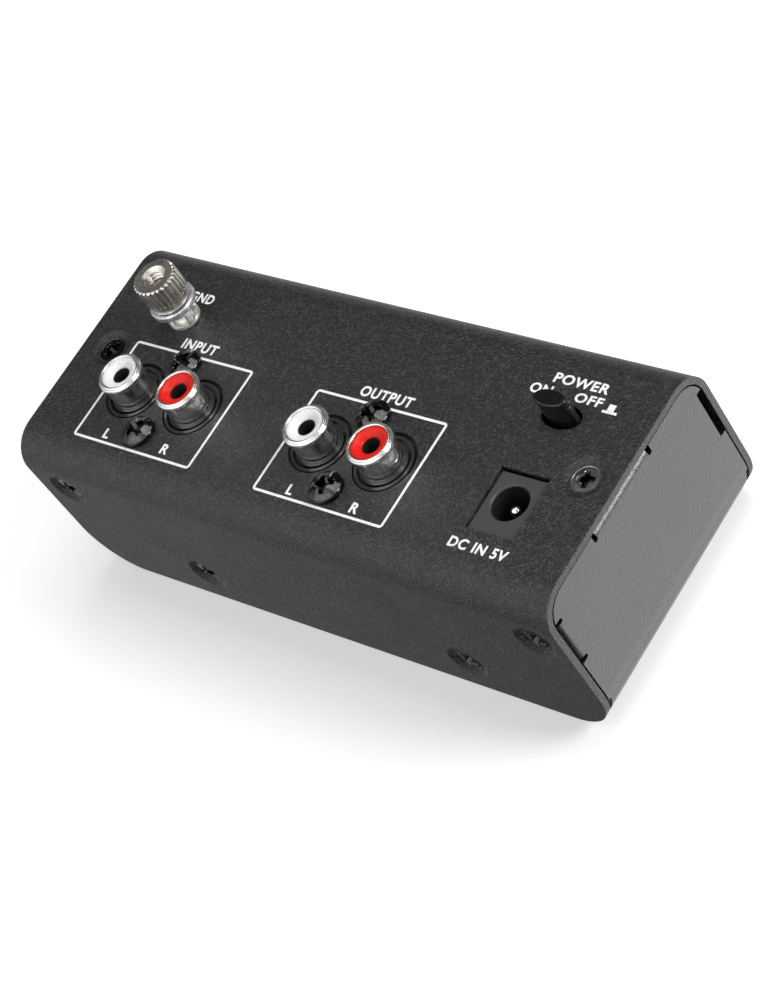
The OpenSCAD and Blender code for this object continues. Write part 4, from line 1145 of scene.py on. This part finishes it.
class PREAMP_OT_ground_post(bpy.types.Operator):
    """Post with cross windows and thread, loose washer and knurled thumb nut"""

    bl_idname = "preamp.ground_post"
    bl_label = "Ground post"

    def execute(self, context):
        finish = context.scene.preamp_finish
        post = context.scene.preamp_post
        plating = plated_material("post_plating", finish.post_colour, 0.42, 0.2, 0.001)
        washer_centre = centre("ground_washer")
        x, z = washer_centre.x, washer_centre.z
        self.make_post(post, plating, x, z)
        self.make_washer(finish, x, z)
        self.make_nut(finish, post, x, z)
        dress(grainy_metal_material("zinc_inside", finish.zinc_colour, 0.3, 0.4),
              "ground_lock_washer", "ground_lug")
        dress(plated_material("brass_nut", (0.7, 0.5, 0.22, 1), 0.25), "ground_hex_nuts")
        dress(moulded_material("wire_insulation", (0.03, 0.3, 0.06, 1), 0.4), "ground_wire")
        return {"FINISHED"}

    def make_post(self, post, material, x, z):
        """Foot with two crossed windows, and the threaded stud on both sides of it."""
        low, high = box("ground_post")
        foot_r = (high.z - low.z) / 2 / MM
        foot_h = (PANEL_Y - box("ground_washer")[1].y) / MM - 0.25
        window_w, window_h, window_turn, foot_ring = 3.2, 1.9, 30, 0.95
        path = softened([(-foot_h, 0, 0), (-foot_h, foot_r, 0.25), (-0.02, foot_r, 0.3),
                         (-0.02, 0, 0)])
        near, far = PANEL_Y - (foot_ring + window_h) * MM, PANEL_Y - foot_ring * MM
        half, reach = window_w / 2 * MM, 2 * foot_r * MM
        cutters = []
        for half_x, half_z in ((reach, half), (half, reach)):
            verts, faces = block((x - half_x, near, z - half_z), (x + half_x, far, z + half_z))
            cutters.append((swung(verts, x, z, math.radians(window_turn)), faces))
        foot = cut_windows(turned(path, 96, (x, PANEL_Y, z)), cutters, 0.07 * MM)

        root_r, tip, lead_in = 1.56, 0.15, 0.2
        start, stop = (low.y - PANEL_Y) / MM, (high.y - PANEL_Y) / MM
        rings = int((stop - start) / THREAD_STEP)
        path = [(start, 0), (start, root_r - tip), (start + tip, root_r)]
        path += [(start + lead_in + (stop - start - 2 * lead_in) * k / rings, root_r)
                 for k in range(rings + 1)]
        path += [(stop, root_r - tip), (stop, 0)]
        path = [p for p in path if not -foot_h + 0.4 < p[0] < -0.1]
        shape = thread(root_r, post.thread_depth / MM, post.pitch / MM)
        stud = new_mesh("stud", *turned(path, 48, (x, PANEL_Y, z), shape))
        with edited(foot) as work:
            work.from_mesh(stud)
        bpy.data.meshes.remove(stud)
        piece = finish_piece("post_with_windows", foot, material)
        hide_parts("ground_post")

    def make_washer(self, finish, x, z):
        low, high = box("ground_washer")
        thick = (high.y - low.y) / MM
        outer_r, inner_r = (high.x - low.x) / 2 / MM, 1.825
        path = softened([(thick, inner_r, 0), (0, inner_r + 0.1, 0.08), (0, outer_r, 0.14),
                         (thick, outer_r, 0.14), (thick, inner_r, 0)])
        zinc = grainy_metal_material("zinc_washer", finish.zinc_colour, 0.36, 1.0)
        piece = new_piece("loose_washer", *turned(path, 96, (x, low.y, z)), zinc, body="washer",
                          slot="zinc_washer")
        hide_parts("ground_washer")

    def make_nut(self, finish, post, x, z):
        """Knurled grip, plain collar and a bore whose thread meets the stud's."""
        low, high = box("ground_thumb_nut")
        nut_r = (high.x - low.x) / 2 / MM
        length = (high.y - low.y) / MM
        collar_l, collar_r, mouth_r, root_r = 1.5, 3.6, 2.35, 1.66
        grip = length - collar_l
        path = softened([
            (0.0, mouth_r, 0), (0.0, nut_r - 0.34, 0), (0.05, nut_r - 0.3, 0.05),
            (0.3, nut_r, 0.08), (grip - 0.25, nut_r, 0.08), (grip, nut_r - 0.3, 0.05),
            (grip, collar_r, 0.05), (length, collar_r, 0.1), (length, root_r + 0.3, 0)])
        rings = int((length - 0.7) / THREAD_STEP)
        path.append((length - 0.05, root_r))
        path += [(length - 0.1 - (length - 0.75) * k / rings, root_r) for k in range(rings + 1)]
        path += [(0.6, root_r + 0.02), (0.0, mouth_r)]
        phase_shift = (low.y - PANEL_Y) / MM
        threaded = thread(root_r, post.thread_depth / MM, post.pitch / MM)
        grooved = knurl(nut_r, post.grooves, post.groove_depth / MM, 0.02, grip - 0.02)

        def shape(angle, d, r):
            d2, r2 = threaded(angle, d + phase_shift, r)
            return grooved(angle, d2 - phase_shift, r2)

        points_per_groove = 8
        parts = turned(path, points_per_groove * post.grooves, (x, low.y, z), shape)
        nickel = grainy_metal_material("nickel_nut", finish.worn_nickel_colour, 0.3, 0.2)
        piece = new_piece("knurled_nut", *parts, nickel, body="thumb_nut", slot="thumb_nut",
                          sharp=28)
        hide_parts("ground_thumb_nut")


# ---- Screen print ----

def frame_line(x0, x1, z0, z1, width, corner, thickness, steps=5):
    """Points and faces of a closed line round a rectangle on the panel, with round corners."""
    def loop(inset):
        points = []
        radius = max(corner - inset, 0.05 * MM)
        for cx, cz, start in ((x1, z1, 0.0), (x0, z1, 0.5), (x0, z0, 1.0), (x1, z0, 1.5)):
            sx, sz = (1 if cx == x1 else -1), (1 if cz == z1 else -1)
            mx, mz = cx - sx * (inset + radius), cz - sz * (inset + radius)
            for k in range(steps + 1):
                angle = math.pi * (start + 0.5 * k / steps)
                points.append((mx + radius * math.cos(angle), mz + radius * math.sin(angle)))
        return points

    outer, inner = loop(0.0), loop(width)
    count = len(outer)
    verts = [(px, y, pz) for y in (PANEL_Y - thickness, PANEL_Y + INK_BACK)
             for line in (outer, inner) for px, pz in line]
    faces = []
    for i in range(count):
        j = (i + 1) % count
        faces.append((i, j, count + j, count + i))
        faces.append((2 * count + i, 2 * count + j, j, i))
        faces.append((count + i, count + j, 3 * count + j, 3 * count + i))
    return verts, faces


def solid_faces(faces, count):
    """Faces of a flat shape with count points, of its copy behind it and of the walls between."""
    runs = [(a, b) for face in faces for a, b in zip(face, face[1:] + face[:1])]
    shared = set(runs)
    back = [tuple(i + count for i in reversed(face)) for face in faces]
    walls = [(a, b, b + count, a + count) for a, b in runs if (b, a) not in shared]
    return faces + back + walls


def legend_mesh(name, text, x, z, width, height, settings):
    """Mesh of a word on the panel, fitted to its width and height, in metres."""
    curve = bpy.data.curves.new(name, "FONT")
    curve.body = text
    curve.size = 1.0
    curve.offset = settings.weight
    curve.space_character = settings.spacing
    curve.resolution_u = 4
    word = linked(name, curve)
    flat = baked(word)
    bpy.data.objects.remove(word)
    points = [(v.co.x, v.co.y) for v in flat.vertices]
    faces = [tuple(face.vertices) for face in flat.polygons]
    bpy.data.meshes.remove(flat)
    xs, ys = zip(*points)
    sx, sy = width / (max(xs) - min(xs)), height / (max(ys) - min(ys))
    mid_x, mid_y = (max(xs) + min(xs)) / 2, (max(ys) + min(ys)) / 2
    verts = [(x + (px - mid_x) * sx, y, z + (py - mid_y) * sy)
             for y in (PANEL_Y - settings.thickness, PANEL_Y + INK_BACK) for px, py in points]
    return new_mesh(name, verts, solid_faces(faces, len(points)))


class PREAMP_OT_print(bpy.types.Operator):
    """Plain frames and generic words of the connector panel, screen printed"""

    bl_idname = "preamp.print"
    bl_label = "Screen print"

    # name, word, centre from the middle of the case and from the bottom, width, height, in mm
    WORDS = (
        ("legend_ground", "GND", -40.2, 37.85, 5.6, 2.0),
        ("legend_input", "INPUT", -33.5, 28.45, 8.2, 2.05),
        ("legend_output", "OUTPUT", 9.6, 28.45, 11.2, 2.05),
        ("legend_input_left", "L", -40.4, 7.9, 1.3, 1.95),
        ("legend_input_right", "R", -26.4, 8.2, 1.7, 1.95),
        ("legend_output_left", "L", 3.1, 7.8, 1.3, 1.95),
        ("legend_output_right", "R", 17.0, 7.95, 1.7, 1.95),
        ("legend_power", "POWER", 42.8, 39.4, 10.8, 1.9),
        ("legend_on", "ON", 36.3, 36.75, 4.2, 1.9),
        ("legend_off", "OFF", 45.7, 36.85, 5.4, 1.8),
        ("legend_supply", "DC IN 5V", 42.7, 7.45, 11.4, 1.9),
    )
    # left, right, bottom and top of each frame, in mm
    FRAMES = {"input_frame": (-47.54, -19.17, 5.93, 26.65),
              "output_frame": (-4.37, 24.0, 5.93, 26.65)}
    # left, right, bottom and top of the plate and of the raised button in its symbol, in mm
    SYMBOL = ((49.0, 51.8, 35.35, 35.8), (49.75, 51.0, 35.75, 37.05))

    def execute(self, context):
        settings = context.scene.preamp_print
        ink = ink_material()
        for name, sides in self.FRAMES.items():
            parts = frame_line(*(side * MM for side in sides), settings.line_width,
                               settings.corner, settings.thickness)
            new_piece(name, *parts, ink)
        for name, word, *places in self.WORDS:
            mesh = legend_mesh(name, word, *(place * MM for place in places), settings)
            finish_piece(name, mesh, ink)
        front, back = PANEL_Y - settings.thickness, PANEL_Y + INK_BACK
        raised = [block((x0 * MM, front, z0 * MM), (x1 * MM, back, z1 * MM))
                  for x0, x1, z0, z1 in self.SYMBOL]
        new_piece("button_symbol", *joined(*raised), ink)
        return {"FINISHED"}


# ---- What the case holds ----

class PREAMP_OT_inside(bpy.types.Operator):
    """Finishes of the boards and of the parts that they carry"""

    bl_idname = "preamp.inside"
    bl_label = "Inside"

    RESISTOR_BODY = (0.2, 0.42, 0.6, 1)
    RESISTOR_BANDS = ((0.5, 0.1, 0.02, 1), (0.02, 0.02, 0.02, 1), (0.5, 0.02, 0.02, 1),
                      (0.5, 0.36, 0.08, 1))

    def execute(self, context):
        dress(board_material(), "main_board", "riser_board")
        dress(plated_material("spacer_brass", (0.7, 0.52, 0.25, 1), 0.3), "board_spacers")
        dress(plated_material("zinc_screw", (0.65, 0.66, 0.66, 1), 0.3), "board_screws")
        dress(plated_material("tinned_pin", (0.62, 0.6, 0.55, 1), 0.28), "riser_pins")
        dress(lens_material(), "power_lamp")
        dress(moulded_material("chip_moulding", (0.03, 0.03, 0.033, 1), 0.45, 0.1, 0.01),
              "left_op_amp", "right_op_amp", "voltage_converter")
        dress(moulded_material("choke_sleeve", (0.05, 0.05, 0.052, 1), 0.4, 0.2, 0.01),
              "filter_choke")
        dress(banded_material("diode_body", "supply_diode", (0.03, 0.03, 0.03, 1),
                              [(0.6, 0.6, 0.6, 1)]), "supply_diode")
        dress(moulded_material("film_box", (0.45, 0.06, 0.04, 1), 0.35, 0.25, 0.008),
              *(f"{side}_film_capacitor" for side in CHANNELS))
        for side in CHANNELS:
            for kind in ("gain", "load"):
                name = f"{side}_{kind}_resistor"
                dress(banded_material(name, name, self.RESISTOR_BODY, self.RESISTOR_BANDS), name)
            for kind in PAIRS:
                name = f"{side}_{kind}_capacitor"
                dress(can_material(name, (0.015, 0.02, 0.08, 1), (0.5, 0.52, 0.56, 1)), name)
        for name in ("supply_capacitor", "rail_capacitor"):
            dress(can_material(name, (0.02, 0.02, 0.022, 1), (0.5, 0.45, 0.3, 1)), name)
        return {"FINISHED"}


# ---- Stage ----

def softbox(name, place, target, width, height, power):
    """Area lamp at a place, turned to a target. The camera looks through it."""
    lamp = bpy.data.lights.new(name, "AREA")
    lamp.shape = "RECTANGLE"
    lamp.size = width
    lamp.size_y = height
    lamp.energy = power
    made = linked(name, lamp)
    made.location = place
    made.rotation_euler = (Vector(target) - Vector(place)).to_track_quat("-Z", "Y").to_euler()
    made.visible_camera = False
    return made


def studio_world(ambient, room, glow):
    """White where it is seen, a plain level for light from all round, and for gloss a white
    backdrop behind the floor, a dimmer room on the panel's side and a glow below the case."""
    world = bpy.data.worlds.new("studio")
    bpy.context.scene.world = world
    world.use_nodes = True
    tree = world.node_tree
    way = axes(tree, coordinates(tree, "Generated"))
    behind = map_range(tree, way["Y"], -0.1, 0.35)
    above = map_range(tree, way["Z"], -0.3, 0.2)
    leftward = map_range(tree, way["X"], -0.58, -0.8, 0.0, 0.8)
    backdrop = maths(tree, "MULTIPLY", behind, maths(tree, "MAXIMUM", above, leftward))
    below = maths(tree, "MULTIPLY", map_range(tree, way["Z"], 0.0, -0.5, 0.0, glow),
                  map_range(tree, way["Y"], 0.35, -0.1))
    mirrored = maths(tree, "ADD", map_range(tree, backdrop, 0.0, 1.0, room, 1.0), below)
    path = node(tree, "ShaderNodeLightPath").outputs
    seen = maths(tree, "ADD", path["Is Camera Ray"], path["Is Transmission Ray"], clamp=True)
    light = None
    for level, chosen in ((ambient, None), (mirrored, path["Is Glossy Ray"]), (1.0, seen)):
        made = (tree.nodes["Background"] if light is None
                else node(tree, "ShaderNodeBackground"))
        made.inputs["Color"].default_value = (1, 1, 1, 1)
        feed(tree, made.inputs["Strength"], level)
        light = (made.outputs[0] if light is None
                 else mix_shader(tree, chosen, light, made.outputs[0]))
    tree.links.new(light, tree.nodes["World Output"].inputs["Surface"])


def floor_material(colour, glow):
    """Pale floor that keeps shadows, seen by the camera from its front only."""
    made = bpy.data.materials.new("floor")
    made.use_nodes = True
    tree = made.node_tree
    tree.nodes.clear()
    pale = node(tree, "ShaderNodeBsdfDiffuse")
    pale.inputs["Color"].default_value = tuple(colour)
    lift = node(tree, "ShaderNodeEmission")
    lift.inputs["Strength"].default_value = glow
    both = node(tree, "ShaderNodeAddShader")
    for slot, light in zip(both.inputs, (pale, lift)):
        tree.links.new(light.outputs[0], slot)
    clear = node(tree, "ShaderNodeBsdfTransparent")
    camera_ray = node(tree, "ShaderNodeLightPath").outputs["Is Camera Ray"]
    back = node(tree, "ShaderNodeNewGeometry").outputs["Backfacing"]
    shown = maths(tree, "MULTIPLY", camera_ray, maths(tree, "SUBTRACT", 1.0, back))
    result = node(tree, "ShaderNodeOutputMaterial")
    tree.links.new(mix_shader(tree, shown, clear.outputs[0], both.outputs[0]),
                   result.inputs["Surface"])
    return made


class PREAMP_OT_stage(bpy.types.Operator):
    """Camera, softboxes, white surroundings and the floor that the preamp lies on"""

    bl_idname = "preamp.stage"
    bl_label = "Stage"

    MIDDLE = (0.0, 0.0, 0.024)
    RIGHT_END = 0.059
    # name, place, target, width, height, setting that holds its power, lights gloss alone
    SOFTBOXES = (
        ("softbox_front_right", (0.62, -0.36, 0.3), MIDDLE, 0.3, 0.3, "key_power", False),
        ("softbox_over_top", (0.05, -0.72, 0.33), MIDDLE, 0.5, 0.5, "top_power", False),
        ("softbox_beside_panel", (-0.1, -0.27, -0.12), (-0.1, 0.0, -0.12), 0.4, 0.42,
         "fill_power", True),
        ("softbox_along_fold", (0.74, -0.115, 0.3), (RIGHT_END, -0.015, 0.024), 0.3, 0.3,
         "fold_power", True),
        ("softbox_right", (0.38, 0.37, 0.2), (RIGHT_END, 0.0, 0.024), 0.5, 0.5, "side_power",
         False),
        ("softbox_low", (0.15, -0.2, -0.7), MIDDLE, 0.6, 0.4, "low_power", False),
    )

    def execute(self, context):
        stage = context.scene.preamp_stage
        self.camera(context, stage)
        context.scene.view_settings.view_transform = "Standard"
        studio_world(stage.ambient, stage.room, stage.glow)
        for name, place, target, width, height, power, gloss_only in self.SOFTBOXES:
            lamp = softbox(name, place, target, width, height, getattr(stage, power))
            lamp.visible_diffuse = not gloss_only
        half = stage.floor_size / 2
        corners = ((-half, -half), (half, -half), (half, half), (-half, half))
        mesh = new_mesh("floor", [(x, FLOOR_Y, z) for x, z in corners], [(0, 1, 2, 3)])
        mesh.materials.append(floor_material(stage.floor_colour, stage.floor_lift))
        linked("floor", mesh)
        return {"FINISHED"}

    def camera(self, context, stage):
        data = bpy.data.cameras.new("camera")
        data.lens = stage.lens
        data.sensor_width = 36.0
        data.clip_start = 0.01
        camera = linked("camera", data)
        aim = Vector(stage.camera_aim).normalized()
        right = aim.cross(Vector(stage.camera_up)).normalized()
        up = right.cross(aim)
        turn = Matrix((right, up, -aim)).transposed().to_4x4()
        camera.matrix_world = Matrix.Translation(stage.camera_place) @ turn
        context.scene.camera = camera


# ---- Panel and registration ----

STEPS = (PREAMP_OT_stage, PREAMP_OT_case, PREAMP_OT_screws, PREAMP_OT_jacks,
         PREAMP_OT_supply_jack, PREAMP_OT_power_button, PREAMP_OT_ground_post, PREAMP_OT_print,
         PREAMP_OT_inside)
SETTINGS = {"preamp_finish": FinishSettings, "preamp_print": PrintSettings,
            "preamp_jacks": JackSettings, "preamp_screws": ScrewSettings,
            "preamp_post": PostSettings, "preamp_stage": StageSettings}


class PREAMP_PT_looks(bpy.types.Panel):
    """Steps and settings of the preamp's looks"""

    bl_idname = "PREAMP_PT_looks"
    bl_label = "Phono preamp"
    bl_space_type = "VIEW_3D"
    bl_region_type = "UI"
    bl_category = "Phono preamp"

    def draw(self, context):
        for step in STEPS:
            self.layout.operator(step.bl_idname)
        for name, kind in SETTINGS.items():
            section = self.layout.box()
            section.label(text=kind.__doc__.rstrip("."))
            for key in kind.__annotations__:
                section.prop(getattr(context.scene, name), key)


def register():
    for kind in (*SETTINGS.values(), *STEPS, PREAMP_PT_looks):
        bpy.utils.register_class(kind)
    for name, kind in SETTINGS.items():
        setattr(bpy.types.Scene, name, PointerProperty(type=kind))


def unregister():
    for name in SETTINGS:
        delattr(bpy.types.Scene, name)
    for kind in (PREAMP_PT_looks, *reversed(STEPS), *reversed(SETTINGS.values())):
        bpy.utils.unregister_class(kind)


def main():
    register()
    for step in STEPS:
        section, name = step.bl_idname.split(".")
        getattr(getattr(bpy.ops, section), name)()
    bpy.context.view_layer.update()


if __name__ == "__main__":
    main()
